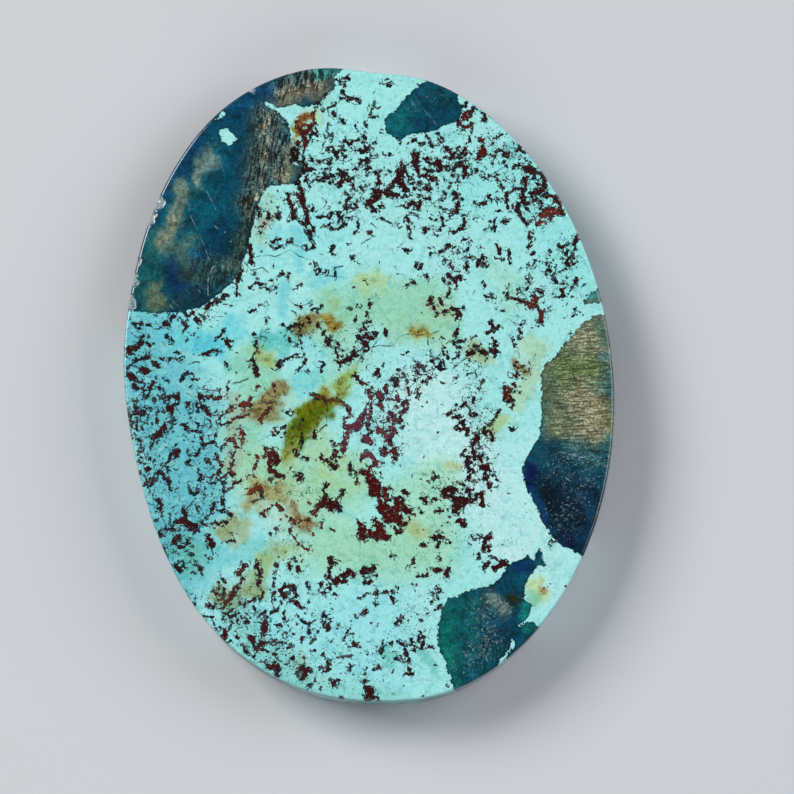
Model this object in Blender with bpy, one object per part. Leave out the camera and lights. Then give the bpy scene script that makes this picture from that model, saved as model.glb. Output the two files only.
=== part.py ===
"""An oval cabochon of shattuckite: one polished stone with a nearly flat face, an eased rim and a flat back.

The stone lies on its back, with its face up. X is across it, Y along it and Z up from the surface that it rests on.
All sizes are in metres.
"""

import math

import bmesh
import bpy

MM = 0.001

# Driving dimensions of the stone
LENGTH = 45.0 * MM
WIDTH = 34.0 * MM
THICKNESS = 4.8 * MM
CROWN = 0.22 * MM  # the face's middle stands this much above its edge
FACE_BEVEL = 0.22 * MM  # the eased edge round the face
WALL_TAPER = 0.10 * MM  # the wall leans in this much on its way down
BACK_BEVEL_WIDTH = 0.75 * MM
BACK_BEVEL_HEIGHT = 0.85 * MM

# Where the outline, cut by hand, leaves a true ellipse: direction and reach in degrees from +X, and depth
OUTLINE_DEPARTURES = (
    ("flat at the head", 83, 8, -0.50 * MM),
    ("full shoulder, upper left", 112, 16, 0.36 * MM),
    ("flat, upper left side", 153, 13, -0.18 * MM),
    ("long flat, lower left side", 189, 22, -0.27 * MM),
    ("full shoulder, lower left", 233, 18, 0.36 * MM),
    ("flat at the foot", 266, 10, -0.26 * MM),
)

# Small shell-shaped chips out of the face's edge: direction in degrees, length along the edge, and bite
EDGE_CHIPS = (
    (105.6, 0.9 * MM, 0.24 * MM),
    (133.4, 1.3 * MM, 0.50 * MM),
    (137.6, 1.6 * MM, 0.28 * MM),
    (146.5, 0.8 * MM, 0.24 * MM),
    (150.9, 1.2 * MM, 0.34 * MM),
    (155.7, 1.4 * MM, 0.44 * MM),
)

# Fineness of the faceted solid
OUTLINE_STEPS = 160
FACE_RINGS = 6
BEVEL_STEPS = 3
CHIP_SUBDIVISIONS = 2

STONE_COLOR = (0.30, 0.70, 0.68, 1.0)
STONE_ROUGHNESS = 0.22


def outline_radius(angle):
    """How far the rim is from the stone's axis in this direction, in radians from +X."""
    half_width, half_length = WIDTH / 2, LENGTH / 2
    radius = half_width * half_length / math.hypot(half_length * math.cos(angle), half_width * math.sin(angle))
    for _, at, reach, depth in OUTLINE_DEPARTURES:
        away = (math.degrees(angle) - at + 180) % 360 - 180
        radius += depth * math.exp(-((away / reach) ** 2))
    return radius


def outline_centre():
    """The middle of the outline's bounding box, which its flats and shoulders move off the ellipse's centre."""
    angles = [2 * math.pi * step / OUTLINE_STEPS for step in range(OUTLINE_STEPS)]
    across = [outline_radius(angle) * math.cos(angle) for angle in angles]
    along = [outline_radius(angle) * math.sin(angle) for angle in angles]
    return (min(across) + max(across)) / 2, (min(along) + max(along)) / 2


def quarter_round(width, height, steps):
    """Steps of a quarter ellipse, as (distance in from its outer side, distance from its flat side)."""
    turns = [math.pi / 2 * step / steps for step in range(steps + 1)]
    return [(width * (1 - math.sin(turn)), height * (1 - math.cos(turn))) for turn in turns]


def cross_section():
    """The rings of the stone from its face's edge down to its back, as (inset from the outline, height)."""
    face_edge = THICKNESS - CROWN
    face_bevel = [(inset, face_edge - drop) for inset, drop in quarter_round(FACE_BEVEL, FACE_BEVEL, BEVEL_STEPS)]
    back_bevel = [
        (WALL_TAPER + inset, rise)
        for inset, rise in reversed(quarter_round(BACK_BEVEL_WIDTH, BACK_BEVEL_HEIGHT, BEVEL_STEPS))
    ]
    return face_bevel + back_bevel


def add_ring(bm, inset, height, share=1.0):
    """One closed ring of vertices, on the outline moved in by inset and then shrunk to share of its size."""
    ring = []
    for step in range(OUTLINE_STEPS):
        angle = 2 * math.pi * step / OUTLINE_STEPS
        radius = (outline_radius(angle) - inset) * share
        ring.append(bm.verts.new((radius * math.cos(angle), radius * math.sin(angle), height)))
    return ring


def bridge(bm, upper, lower):
    """A band of quads between two rings, the lower one further out or further down."""
    for i in range(OUTLINE_STEPS):
        after = (i + 1) % OUTLINE_STEPS
        bm.faces.new((upper[i], lower[i], lower[after], upper[after]))


def stone_body():
    """The whole stone as a loft: crowned face, eased edge, tapering wall, rounded lower edge and flat back."""
    bm = bmesh.new()
    face_share = [ring / (FACE_RINGS + 1) for ring in range(1, FACE_RINGS + 1)]
    rings = [
        add_ring(bm, FACE_BEVEL, THICKNESS - CROWN * share**2, share)
        for share in face_share
    ]
    rings += [add_ring(bm, inset, height) for inset, height in cross_section()]
    top = bm.verts.new((0, 0, THICKNESS))
    for i in range(OUTLINE_STEPS):
        bm.faces.new((top, rings[0][i], rings[0][(i + 1) % OUTLINE_STEPS]))
    for upper, lower in zip(rings, rings[1:]):
        bridge(bm, upper, lower)
    bm.faces.new(list(reversed(rings[-1])))
    mesh = bpy.data.meshes.new("stone")
    bm.to_mesh(mesh)
    bm.free()
    return bpy.data.objects.new("stone", mesh)


def chip_cutter(number, at, length, bite):
    """An egg-shaped cutter that takes one shell-shaped chip out of the face's edge."""
    angle = math.radians(at)
    reach = outline_radius(angle) + length / 2 - bite
    centre = (reach * math.cos(angle), reach * math.sin(angle), THICKNESS - CROWN + bite / 2)
    bm = bmesh.new()
    bmesh.ops.create_icosphere(bm, subdivisions=CHIP_SUBDIVISIONS, radius=length / 2)
    mesh = bpy.data.meshes.new(f"chip_{number}")
    bm.to_mesh(mesh)
    bm.free()
    cutter = bpy.data.objects.new(f"chip_{number}", mesh)
    cutter.location = centre
    cutter.hide_render = True
    cutter.display_type = "WIRE"
    return cutter


def stone_material():
    material = bpy.data.materials.new("polished_shattuckite")
    material.use_nodes = True
    shader = material.node_tree.nodes["Principled BSDF"]
    shader.inputs["Base Color"].default_value = STONE_COLOR
    shader.inputs["Roughness"].default_value = STONE_ROUGHNESS
    return material


def new_collection(name):
    collection = bpy.data.collections.new(name)
    bpy.context.scene.collection.children.link(collection)
    return collection


def main():
    for obj in list(bpy.data.objects):
        bpy.data.objects.remove(obj)
    cabochon = new_collection("shattuckite_cabochon")
    cutters = new_collection("cutters")
    centre_x, centre_y = outline_centre()
    ellipse_axis = bpy.data.objects.new("ellipse_axis", None)
    ellipse_axis.location = (-centre_x, -centre_y, 0)
    cabochon.objects.link(ellipse_axis)
    stone = stone_body()
    stone.parent = ellipse_axis
    stone.data.materials.append(stone_material())
    cabochon.objects.link(stone)
    for number, (at, length, bite) in enumerate(EDGE_CHIPS, start=1):
        cutter = chip_cutter(number, at, length, bite)
        cutter.parent = ellipse_axis
        cutters.objects.link(cutter)
        chip = stone.modifiers.new(cutter.name, "BOOLEAN")
        chip.operation = "DIFFERENCE"
        chip.object = cutter
    stone.data.shade_smooth()
    stone.data.set_sharp_from_angle(angle=math.radians(30))


main()
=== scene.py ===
"""A polished cabochon of shattuckite: pale turquoise, with red-brown and black flecks and dark blue patches.

The marks are drawn on the stone itself. Each was read off the photograph, in its pixels, and is put
where the camera's ray through that pixel meets the stone's face.
"""

import math

import bpy
import numpy as np
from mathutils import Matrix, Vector, noise
from mathutils.geometry import delaunay_2d_cdt


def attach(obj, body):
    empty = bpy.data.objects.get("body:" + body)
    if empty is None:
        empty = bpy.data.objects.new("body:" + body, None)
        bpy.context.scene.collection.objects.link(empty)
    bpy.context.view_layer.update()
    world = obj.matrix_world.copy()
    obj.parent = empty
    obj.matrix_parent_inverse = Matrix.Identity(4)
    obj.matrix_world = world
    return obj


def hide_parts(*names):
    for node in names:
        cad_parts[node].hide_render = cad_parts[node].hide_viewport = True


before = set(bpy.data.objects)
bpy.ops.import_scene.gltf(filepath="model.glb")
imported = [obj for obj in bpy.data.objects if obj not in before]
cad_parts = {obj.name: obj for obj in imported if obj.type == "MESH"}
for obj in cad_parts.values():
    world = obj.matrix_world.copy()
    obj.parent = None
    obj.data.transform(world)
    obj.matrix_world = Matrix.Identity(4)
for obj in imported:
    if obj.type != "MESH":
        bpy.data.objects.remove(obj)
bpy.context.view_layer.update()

MM = 0.001

# The stone's driving dimensions in millimetres, the same as its solid has
LENGTH = 45.0
WIDTH = 34.0
THICKNESS = 4.8
CROWN = 0.22
FACE_BEVEL = 0.22
WALL_TAPER = 0.10
BACK_BEVEL_WIDTH = 0.75
BACK_BEVEL_HEIGHT = 0.85

# The ellipse's centre, which the flats and shoulders move off the middle of the stone
ELLIPSE_CENTRE = (-0.110, -0.064)

# Where the outline leaves a true ellipse: direction and reach in degrees from +X, and depth
OUTLINE_DEPARTURES = (
    ("flat at the head", 83, 8, -0.50),
    ("full shoulder, upper left", 112, 16, 0.36),
    ("flat, upper left side", 153, 13, -0.18),
    ("long flat, lower left side", 189, 22, -0.27),
    ("full shoulder, lower left", 233, 18, 0.36),
    ("flat at the foot", 266, 10, -0.26),
)

# Chips out of the face's edge: direction in degrees, length along the edge, and bite
EDGE_CHIPS = (
    (105.6, 0.9, 0.24),
    (133.4, 1.3, 0.50),
    (137.6, 1.6, 0.28),
    (146.5, 0.8, 0.24),
    (150.9, 1.2, 0.34),
    (155.7, 1.4, 0.44),
)

# How unevenly a chip's wall is broken, as a share of its radius
CHIP_ROUGHNESS = 0.3

# Relief of the polished face: the harder blue patches stand proud, and the hand-held wheel left it uneven
PATCH_RELIEF = 0.030
POLISH_WAVE = 0.016
PIT_DEPTH = 0.012

# How far the step at a patch's edge is eased, in pixels
PATCH_EDGE_REACH = 1.5

# Fields of smooth noise: the size of their features, and the level of the noise that they are cut from
POLISH_FIELD = (5.0, 3)
PIT_FIELD = (0.6, 8)
CHIP_FIELD = (0.3, 4)
DRIFT_FIELD = (5.0, 5)
WALL_FLECK_FIELD = (4.0, 6)
MARK_FIELD = (5.0, 9)
COARSE_WASH_FIELD = (18.0, 1)
FINE_WASH_FIELD = (6.0, 2)

# Fineness of the mesh: vertices round the rim, rows down the wall, and spacing of the points on face and back
RIM_STEPS = 1000
BEVEL_ROWS = 3
FINE_WALL_ROWS = 4
FINE_WALL_DROP = 0.12
WALL_ROWS = 11
BACK_BEVEL_ROWS = 4
FACE_SPACING = 0.22
BACK_SPACING = 0.42
DETAIL_SPACING = 0.095

# How near the face's vertices come to its rim, and plain ones to fine ones as a share of their spacing
RIM_CLEARANCE = 0.09
GRID_CLEARANCE = 0.55

# Fine mesh at the marks, in pixels: steps along them, rows beside them, and the width that gets an inner row
DETAIL_STEP = 1.4
OUTER_STEP = 1.7
OUTER_ROW = 1.1
SCRATCH_ROW = 1.2
WIDE_MARK = 4.0

# Where the wall starts, below the face's edge, and how far marks drift for each millimetre down it
WALL_START = 0.3
WALL_DRIFT = 0.9

# How far washes wander off their paths, and how far outside a mark its depth is still told, in pixels
COARSE_WASH_REACH = 8
FINE_WASH_REACH = 5
FLECK_MARGIN = 4.0
THIN_MARGIN = 3.0

# How firm the edges of washes are: the power by which they fade
FIRM = 4
FAIRLY_SOFT = 2.4
SOFT = 2

# Painted shade under the face's edge: its start, run and reach in millimetres, and its strength on the wall
# under the foot
RIM_SHADE_START = 0.06
RIM_SHADE_RUN = 0.1
RIM_SHADE_REACH = 0.3
FOOT_PAINTED_SHADE = 1.5

# The patches' grain left and right of a pixel: direction in degrees, and fineness across and along
GRAIN_DIVIDE = 490
LEFT_GRAIN = (-14, 4.8, 1.1)
RIGHT_GRAIN = (86, 10.0, 0.9)

# The parts of the one map, as shares of its side: the middles of face and back, and the wall's strip
MAP_LENGTH = 0.78
MAP_FACE = (0.31, 0.41)
MAP_BACK = (0.80, 0.22)
MAP_WALL = (0.02, 0.85)
MAP_WALL_SIZE = (0.96, 0.13)

# The photograph: a square frame, and the camera that took it
FRAME_PIXELS = 794
SENSOR = 36.0
CAMERA_AZIMUTH = -6.0
CAMERA_ELEVATION = 81.0
CAMERA_DISTANCE = 300.0
SEEN_WIDTH = 54.9
LOOKS_AT = (1.79, -1.424, 4.6)
MARKS_HEIGHT = 4.7

# The blue patches, as the corners of their outlines; each runs past the rim where it meets it
PATCHES = {
    "upper left": """
345,69 340,72 334,78 331,80 338,83 333,90 327,95 321,101 316,106 312,104 308,107 304,108 300,107 295,104
290,105 283,107 276,107 270,104 263,100 267,106 273,109 280,113 286,119 289,124 290,130 291,138 291,143
290,149 289,158 292,164 299,164 304,167 303,170 300,176 297,181 292,184 285,185 278,185 270,186 264,190
262,196 259,203 256,212 254,222 251,232 250,242 248,250 244,258 243,265 238,275 233,283 226,289 221,293
215,297 207,303
200,309 190,310 184,313 170,313 150,313 137,311 128,311 105,313 95,250 150,130 230,50 345,45
""",
    "head": """
425,60 425,80 419,85 414,90 410,93 405,97 401,102 399,106 396,110 392,112 387,115 384,120 385,127 387,133
391,136 396,140 400,140 405,137 411,135 418,133 424,133 430,132 437,130 440,127 444,125 450,124 455,123
460,119 462,114 463,108 459,100 457,96 475,80
""",
    "right": """
604,314 597,315 592,316 588,320 585,321 580,326 575,331 570,338 566,342 562,345 560,350 556,354 552,358
549,361 545,365 543,369 541,374 541,390 541,418 540,424 539,430 540,434 538,438 535,441 532,446 530,450
527,456 524,462 523,468 523,475 524,482 526,488 529,493 532,499 535,505 538,511 540,518 543,522 546,525
548,530 550,535 552,539 557,541 560,545 564,547 570,549 575,552 579,553 583,558 600,575 650,510 650,330
620,312
""",
    "lower right": """
494,583 500,578 508,565 515,562 520,560 525,557 529,552 531,558 534,560 536,553 539,547 542,550 543,558
544,562 549,564 544,566 540,566 536,568 533,572 530,576 527,580 526,588 525,594 523,600 528,602 533,603
532,608 529,614 526,619 522,623 518,626 524,624 528,621 532,621 536,624 560,640 530,670 505,700 453,715
453,687 450,677 447,671 444,668 446,663 443,658 441,652 438,645 437,638 437,630 439,622 441,614 442,607
445,602 448,598 452,597 460,595 465,591 472,589 480,587 488,586
""",
    "right rim": "597,287 592,292 587,297 583,300 585,304 592,303 598,303 603,303 620,300 620,285",
}

# Turquoise left showing inside the blue patches
INCLUSIONS = {
    "near the rim": "220,130 224,129 228,129 233,133 236,138 235,141 231,143 229,145 225,142 221,140",
    "small, beside it": "216,119 219,115 223,111 225,111 224,115 220,119",
    "foot, first": "510,648 512,640 515,641 513,648",
    "foot, second": "497,664 503,657 508,651 510,650 507,657 501,665",
}

# Washes of colour over the pale matrix, where the pale ones right of the middle also hold a painted sheen and
# the blue one down the left side painted shade: colour, strength, reach in pixels, and the path that the wash
# follows
MATRIX_COLOR = "a2e6e5"
MATRIX_WASHES = (
    # Partly the stone's bluer tone and partly painted shade down the left side
    ("left side", "5cb8c6", 0.85, 46, "140,340 165,400 185,460 180,520 170,560"),
    ("below the big patch", "68d0dc", 0.75, 15, "165,328 195,337 215,345 232,330"),
    ("foot", "98e3e8", 0.8, 42, "270,620 320,650 370,620 380,680 320,690"),
    ("foot, left", "80d4dc", 0.6, 24, "240,620 265,650 290,680"),
    ("foot, green tinge", "86cfc4", 0.6, 14, "225,600 245,635 285,672 330,694 400,700"),
    # These two pale washes are partly the stone's paler tone and partly a painted sheen
    ("middle, right", "c3eceb", 0.85, 40, "430,400 440,440 500,500 520,540"),
    ("right of the middle", "b4eaea", 0.7, 20, "530,450 510,520 545,545 570,560 550,590"),
    ("upper middle", "a6e6e4", 0.5, 40, "340,240 400,230 440,250"),
    ("upper middle, bright", "8fdfe4", 0.6, 18, "265,250 300,240 330,230"),
    ("head", "9fe8e4", 0.5, 24, "370,90 360,110 330,140"),
    ("right shoulder", "8ee2e0", 0.6, 30, "480,190 540,160 560,230 580,270"),
    ("pale disc", "b6ebe6", 0.7, 10, "293,290 300,283"),
    ("cyan spot, one", "6fcfd9", 0.85, 6, "301,255 301,270"),
    ("cyan spot, two", "6fcdd9", 0.7, 7, "281,290 285,298 282,306"),
    ("cyan spot, three", "78d2d9", 0.8, 9, "320,280 338,276"),
    ("cyan spot, four", "74cfd8", 0.6, 10, "292,236 304,234"),
    ("cyan spot, five", "52c2d8", 0.8, 10, "200,345 214,345"),
    ("cyan, lower left", "75cfd3", 0.8, 13, "220,555 238,552 255,545"),
    ("green-blue, lower left", "62bcb4", 0.8, 14, "180,545 196,552 190,562"),
    ("green-blue, left of the middle", "5cc3bd", 0.8, 11, "262,340 280,343 292,336"),
    ("green-blue, below it", "66c7bf", 0.7, 9, "232,362 240,366"),
    ("blue spot between the stains", "7ad3d6", 0.8, 13, "300,385 312,378"),
    ("blue spot, second", "84d8d8", 0.7, 9, "325,372 332,377"),
    ("blue spot, third", "86dade", 0.7, 11, "310,345 320,350"),
    ("green stain over the middle", "93d1b3", 0.9, 25, "338,318 370,300 405,305 430,305"),
    ("green stain, its right end", "99cfac", 0.7, 18, "440,312 445,330 425,330 400,330"),
    ("green stain, its left end", "9ad6bb", 0.7, 18, "330,335 350,360 335,385"),
    ("yellow-green, upper", "b3cf8c", 0.7, 10, "362,283 380,280"),
    ("olive tan, upper right", "a0b58a", 0.65, 8, "432,303 446,312"),
    ("ochre on the crack", "a39b48", 0.9, 7, "414,331 430,329"),
    ("ochre, middle", "a3842b", 0.9, 6, "326,317 340,326"),
    ("ochre, middle, upper", "a2a04c", 0.8, 5, "333,300 337,308"),
    ("tan-brown", "8f8548", 0.9, 8, "298,330 313,322"),
    ("green between them", "8fd0b0", 0.7, 12, "330,300 345,312"),
    ("green field, left", "8fcfb0", 0.8, 22, "250,365 262,400 245,430"),
    ("olive, left", "a2bb74", 0.85, 8, "262,356 268,363"),
    ("brown-orange", "93814c", 0.85, 9, "282,384 280,398 268,404 262,412"),
    ("pale gap in the stain", "a8dccb", 0.8, 4, "290,380 291,400"),
    ("tan-olive", "948f60", 0.75, 11, "252,412 268,415"),
    ("olive over the crack", "93ad4e", 0.9, 8, "347,378 340,391"),
    ("ochre over the crack", "998f38", 0.9, 7, "337,397 322,394"),
    ("vivid olive", "566b00", 1.0, 13, "318,409 308,420 298,430"),
    ("vivid olive, upper edge", "6f7a0b", 0.95, 8, "324,402 312,403 302,410"),
    ("vivid olive, tail", "6d8217", 0.95, 8, "294,440 290,452"),
    ("green-yellow tail", "94953a", 0.9, 7, "288,458 285,465"),
    ("green field, below it", "9fcfa2", 0.85, 28, "255,470 300,490 345,480"),
    ("green field, foot of it", "9ed6b4", 0.85, 32, "310,540 370,550 430,545"),
    ("green field, right", "a5dbb9", 0.7, 24, "410,495 440,480 420,520"),
    ("green field, between", "a4cf9c", 0.75, 14, "310,450 320,440 330,470"),
    ("tan-olive, lower left", "9fab74", 0.65, 11, "226,528 242,525"),
    ("tan, lower left, upper", "a79f68", 0.75, 11, "250,500 262,490 280,492"),
    ("tan, lower", "a99c6c", 0.7, 8, "285,510 300,520 308,524"),
    ("rust, lower", "9a7a50", 0.65, 4, "309,520 311,527"),
    ("rust under the flecks", "8c6a42", 0.65, 3.5, "291,502 294,512 297,522"),
    ("tan under the flecks", "a8a070", 0.6, 6, "262,508 268,516"),
    ("tan-olive, foot of the left side", "9aa878", 0.6, 9, "236,520 226,532 240,538"),
    ("ochre, foot of the field", "9db877", 0.8, 11, "262,560 280,548"),
    ("olive, foot, left", "8fac76", 0.85, 12, "246,588 260,580"),
    ("olive, foot, further left", "85a67c", 0.8, 11, "222,592 232,600"),
    ("brown under the left flecks", "98a184", 0.5, 8, "232,400 236,440 232,470"),
    ("pale between the flecks", "b3e2d4", 0.8, 12, "272,512 284,530"),
    ("pale disc, lower", "a6e3d8", 0.7, 8, "303,536 304,537"),
    ("olive tan, right of the middle", "abc184", 0.75, 9, "412,525 422,530"),
    ("ochre, right of the middle", "b0c184", 0.7, 8, "450,468 458,470"),
    ("olive, right", "9fb37c", 0.75, 8, "472,348 486,360"),
    ("olive, right, foot", "a9c583", 0.8, 9, "492,428 500,420"),
    ("brown, right", "8a7440", 0.8, 5, "517,362 527,368 520,372"),
    ("green-tan, right", "b1cc9c", 0.6, 11, "528,345 540,350 520,400"),
    ("pale green, right shoulder", "a2dcc4", 0.6, 14, "496,268 512,280 510,300"),
    ("pale green beside the patch", "a6d0b4", 0.55, 10, "270,200 262,225 258,240"),
    ("tan beside the patch", "a09c84", 0.65, 6, "268,215 262,228"),
    ("pale yellow-green at the wedge", "b4d49c", 0.6, 6, "319,112 319,122"),
    ("tan at the wedge", "a79a78", 0.8, 5, "305,115 312,119"),
    ("grey-tan under the wedge", "8b8d7e", 0.9, 6, "289,146 289,166 300,150"),
    ("orange-brown at the wedge", "85480f", 0.95, 4.5, "302,120 310,120"),
    ("ochre at the wedge", "9c7008", 1.0, 4.5, "295,125 292.5,129 293.5,136"),
    ("pale in the rust", "b4c8a8", 0.95, 3.5, "299,134 302,137"),
    ("green tinge at the head", "93d6c8", 0.7, 8, "300,100 325,98"),
    ("yellow-green, lower right", "c3dca0", 0.85, 9, "533,582 540,592"),
    ("tan dot, lower right", "b09a63", 0.85, 4, "540,585 541,586"),
    ("green margin, lower right", "7cc59a", 0.7, 5, "535,593 533,600"),
    ("olive-grey, foot", "8fbca0", 0.7, 8, "297,660 303,658"),
    ("green in the foot", "5fbfb2", 0.6, 7, "385,650 392,655 386,664"),
    ("green in the foot, right", "62beb0", 0.6, 5, "424,652 433,670 441,677"),
)

PATCH_COLOR = "044458"
PATCH_WASHES = (
    ("upper rim, navy", "074263", 0.85, 14, "258,92 235,108 205,138 178,170 168,195"),
    ("navy at the shoulder", "063a5e", 0.8, 10, "176,172 190,155 200,142"),
    ("teal field", "055062", 0.9, 24, "225,150 222,190 205,215 190,205"),
    ("deep blue field", "023f58", 0.8, 18, "235,130 240,160 236,190"),
    ("navy below", "01344e", 0.9, 14, "216,240 214,255 222,232"),
    ("bright blue spot", "0c5a86", 0.9, 6, "193,255 199,256"),
    ("teal, left", "1b5c5c", 0.8, 14, "152,240 148,270 146,300"),
    ("olive dark, foot", "2f4340", 0.9, 16, "186,268 205,275 228,270"),
    ("navy, foot left", "0a2b52", 0.95, 7, "170,270 178,292"),
    ("navy, foot middle", "0a2848", 0.9, 8, "196,293 203,297"),
    ("dark margin", "14343c", 0.7, 12, "238,240 232,262 212,292 180,306"),
    ("beige cloud, top", "8c9a8c", 0.8, 7, "208,152 212,160 207,163"),
    ("beige cloud, middle", "8f9a86", 0.85, 6, "198,162 200,172 197,179"),
    ("beige cloud, long", "8a957f", 0.9, 8, "181,190 178,204 176,216"),
    ("beige cloud, foot", "a09c7a", 0.95, 9, "176,220 168,232 163,242"),
    ("grey-green cloud", "54776c", 0.85, 9, "170,250 182,252 188,245"),
    ("olive cloud, rim", "70795a", 0.85, 6, "157,284 156,295 158,303"),
    ("olive cloud, rim, foot", "5c6f58", 0.7, 6, "150,304 165,305"),
    ("light grey-green", "5a8078", 0.8, 7, "228,262 233,265"),
    ("grain, dark ground", "3a4742", 0.9, 12, "258,118 256,150 252,185 248,215"),
    ("grain, grey", "4a544e", 0.85, 13, "275,118 276,145 274,172"),
    ("grain, tan", "6f6c56", 0.85, 7, "289,150 292,170 280,180"),
    ("grain, light streak", "8b8468", 0.8, 3, "266,122 265,150 262,172 256,196 250,218"),
    ("grain, dark foot", "2c3a34", 0.85, 9, "250,215 246,240 237,265"),
    ("head of the grain", "5c6157", 0.9, 15, "272,95 285,90 305,84 325,78"),
    ("head of the grain, tan", "6f6755", 0.75, 9, "282,96 305,94 325,88"),
    ("head of the grain, dark", "39504e", 0.85, 7, "290,76 310,72"),
    ("teal at the head", "2f7f7d", 0.85, 7, "322,74 342,70"),
    ("navy at the head", "0a3c60", 0.9, 9, "258,92 268,88"),
    ("head patch, teal green", "0f6068", 0.9, 13, "400,122 392,126 410,105"),
    ("head patch, dark", "0a4452", 0.9, 12, "430,92 445,105"),
    ("head patch, blue", "0d4a62", 0.7, 8, "430,112 440,115"),
    ("right patch, ground of the grain", "66715c", 0.95, 42, "590,320 590,345 575,370 575,400"),
    ("right patch, olive green", "5d6d45", 0.95, 17, "560,362 570,372 590,365"),
    ("right patch, grey tan", "84866c", 0.9, 13, "580,338 596,332"),
    ("right patch, green rim", "4d6f5e", 0.85, 7, "602,325 606,345"),
    ("right patch, tan", "88836a", 0.9, 16, "578,400 600,410 590,430"),
    ("right patch, tan, foot", "7d7d64", 0.9, 12, "560,425 580,432 600,434"),
    ("right patch, olive yellow", "6f6e4a", 0.7, 8, "602,405 608,425"),
    ("right patch, grey teal", "6a7659", 0.85, 12, "552,405 556,430"),
    ("right patch, left margin", "667250", 0.7, 6, "546,372 545,395"),
    ("right patch, pink spot", "9a8a72", 0.7, 4, "606,348 607,349"),
    ("right patch, blue spot", "3c6370", 0.7, 5, "602,357 607,361"),
    ("right patch, dark teal", "0d3f4e", 0.95, 14, "545,453 560,462 575,468"),
    ("right patch, grey band", "3c5a58", 0.6, 10, "575,445 592,460 604,452"),
    ("right patch, dark blue", "051f31", 0.95, 24, "560,500 585,505 575,530"),
    ("right patch, black-blue", "041622", 0.9, 12, "548,490 553,515"),
    ("right patch, violet navy", "0a1850", 0.9, 5, "530,468 533,485"),
    ("right patch, blue margin", "0b3b66", 0.85, 4, "532,492 542,512 549,525"),
    ("right patch, blue foot", "0a3550", 0.7, 10, "585,500 592,525 583,540"),
    ("right patch, navy foot", "081a3e", 0.8, 6, "560,538 575,545"),
    ("foot patch, green", "0b6a60", 0.95, 13, "450,615 446,635 450,660"),
    ("foot patch, teal", "095c5c", 0.8, 14, "470,605 475,640"),
    ("foot patch, navy", "083a50", 0.9, 14, "505,590 510,610 498,630"),
    ("foot patch, blue foot", "084f58", 0.8, 12, "490,655 475,675"),
    ("foot patch, dark", "0a3444", 0.8, 9, "485,640 500,645"),
    ("foot patch, bright teal", "0f8a80", 0.9, 5, "528,605 526,616"),
    ("foot patch, green at the rim", "0b7a6a", 0.8, 6, "530,626 540,630"),
    ("foot patch, tail navy", "0a2c60", 0.9, 6, "516,568 528,562"),
    ("foot patch, tail green", "0d6464", 0.8, 4, "540,558 544,563"),
    ("foot patch, grey", "5a6c62", 0.9, 10, "492,598 504,608"),
    ("foot patch, olive pocket", "24240a", 1.0, 5.5, "514,594 518,598"),
    ("foot patch, green left rim", "0e7264", 0.8, 7, "458,690 450,672"),
    ("rim patch", "3d9a9a", 0.8, 7, "592,298 600,296"),
)

FLECK_COLOR = "31090a"
FLECK_WASHES = (
    ("mauve", "5e2f3a", 0.9, 30, "350,430 362,410 380,430 385,410"),
    ("mauve, below", "61323e", 0.9, 10, "368,455 374,465"),
    ("rust, left", "6b2c1c", 0.85, 28, "235,400 255,410 240,470"),
    ("rust, lower left", "6b2f1a", 0.8, 22, "255,490 300,515 310,545"),
    ("bright red-brown", "4a0b08", 0.8, 24, "372,485 385,510 378,533"),
    ("orange red, right shoulder", "642516", 0.85, 12, "543,220 550,213"),
    ("bright brown, right shoulder", "551612", 0.8, 10, "484,151 465,115"),
    ("brown, right", "5e2318", 0.8, 9, "533,302 540,312"),
    ("brown, right of the middle", "4c1f12", 0.8, 10, "510,390 515,375"),
    ("brown over the olive", "5a3218", 0.9, 10, "310,396 340,402"),
    ("red at the wedge", "4a130b", 0.95, 14, "308,125 300,140"),
    ("orange at the wedge", "8c4a14", 0.9, 6, "298,120 310,117"),
    ("black at the wedge", "0e0b09", 0.95, 9, "294,153 298,158"),
    ("maroon, lower left", "40141e", 0.75, 40, "230,590 260,620 300,650 350,620"),
    ("maroon, foot", "3c1822", 0.7, 40, "350,660 400,640 420,600"),
    ("maroon, left", "38141f", 0.6, 26, "135,400 150,470 165,540"),
    ("rust, far left foot", "5a3428", 0.7, 16, "230,575 215,595"),
)

# How thickly the smallest flecks lie: strength, reach, and the path that they crowd along
SPECK_WASHES = (
    ("left side", 0.85, 24, "133,350 140,420 158,480 180,540"),
    ("left side, second", 0.8, 14, "165,395 170,415 165,440 172,500"),
    ("left of the middle", 0.8, 16, "205,390 206,430 205,480 200,520"),
    ("below the big patch", 0.7, 12, "150,322 190,325 215,310"),
    ("foot, left", 0.8, 26, "235,600 265,640 300,670"),
    ("foot", 0.6, 28, "330,640 350,665 400,650 415,620"),
    ("head", 0.75, 24, "325,170 345,150 370,180 350,200"),
    ("head, right", 0.8, 24, "400,175 440,165 490,150 520,185"),
    ("beside the patch", 0.7, 10, "272,200 262,230"),
    ("middle cluster", 1.0, 17, "392,385 415,375 430,365"),
    ("middle cluster, right", 0.9, 15, "385,410 392,440"),
    ("upper right", 0.6, 24, "420,205 470,215 450,265"),
    ("right shoulder", 0.7, 20, "560,250 565,285 520,290"),
    ("right of the middle", 0.8, 17, "470,350 480,430 475,470"),
    ("upper middle", 0.7, 15, "360,330 362,360 300,330"),
    ("lower middle", 0.6, 20, "430,490 470,500 440,540"),
    ("lower left of the middle", 0.5, 24, "260,480 300,500 290,560"),
)

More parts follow.
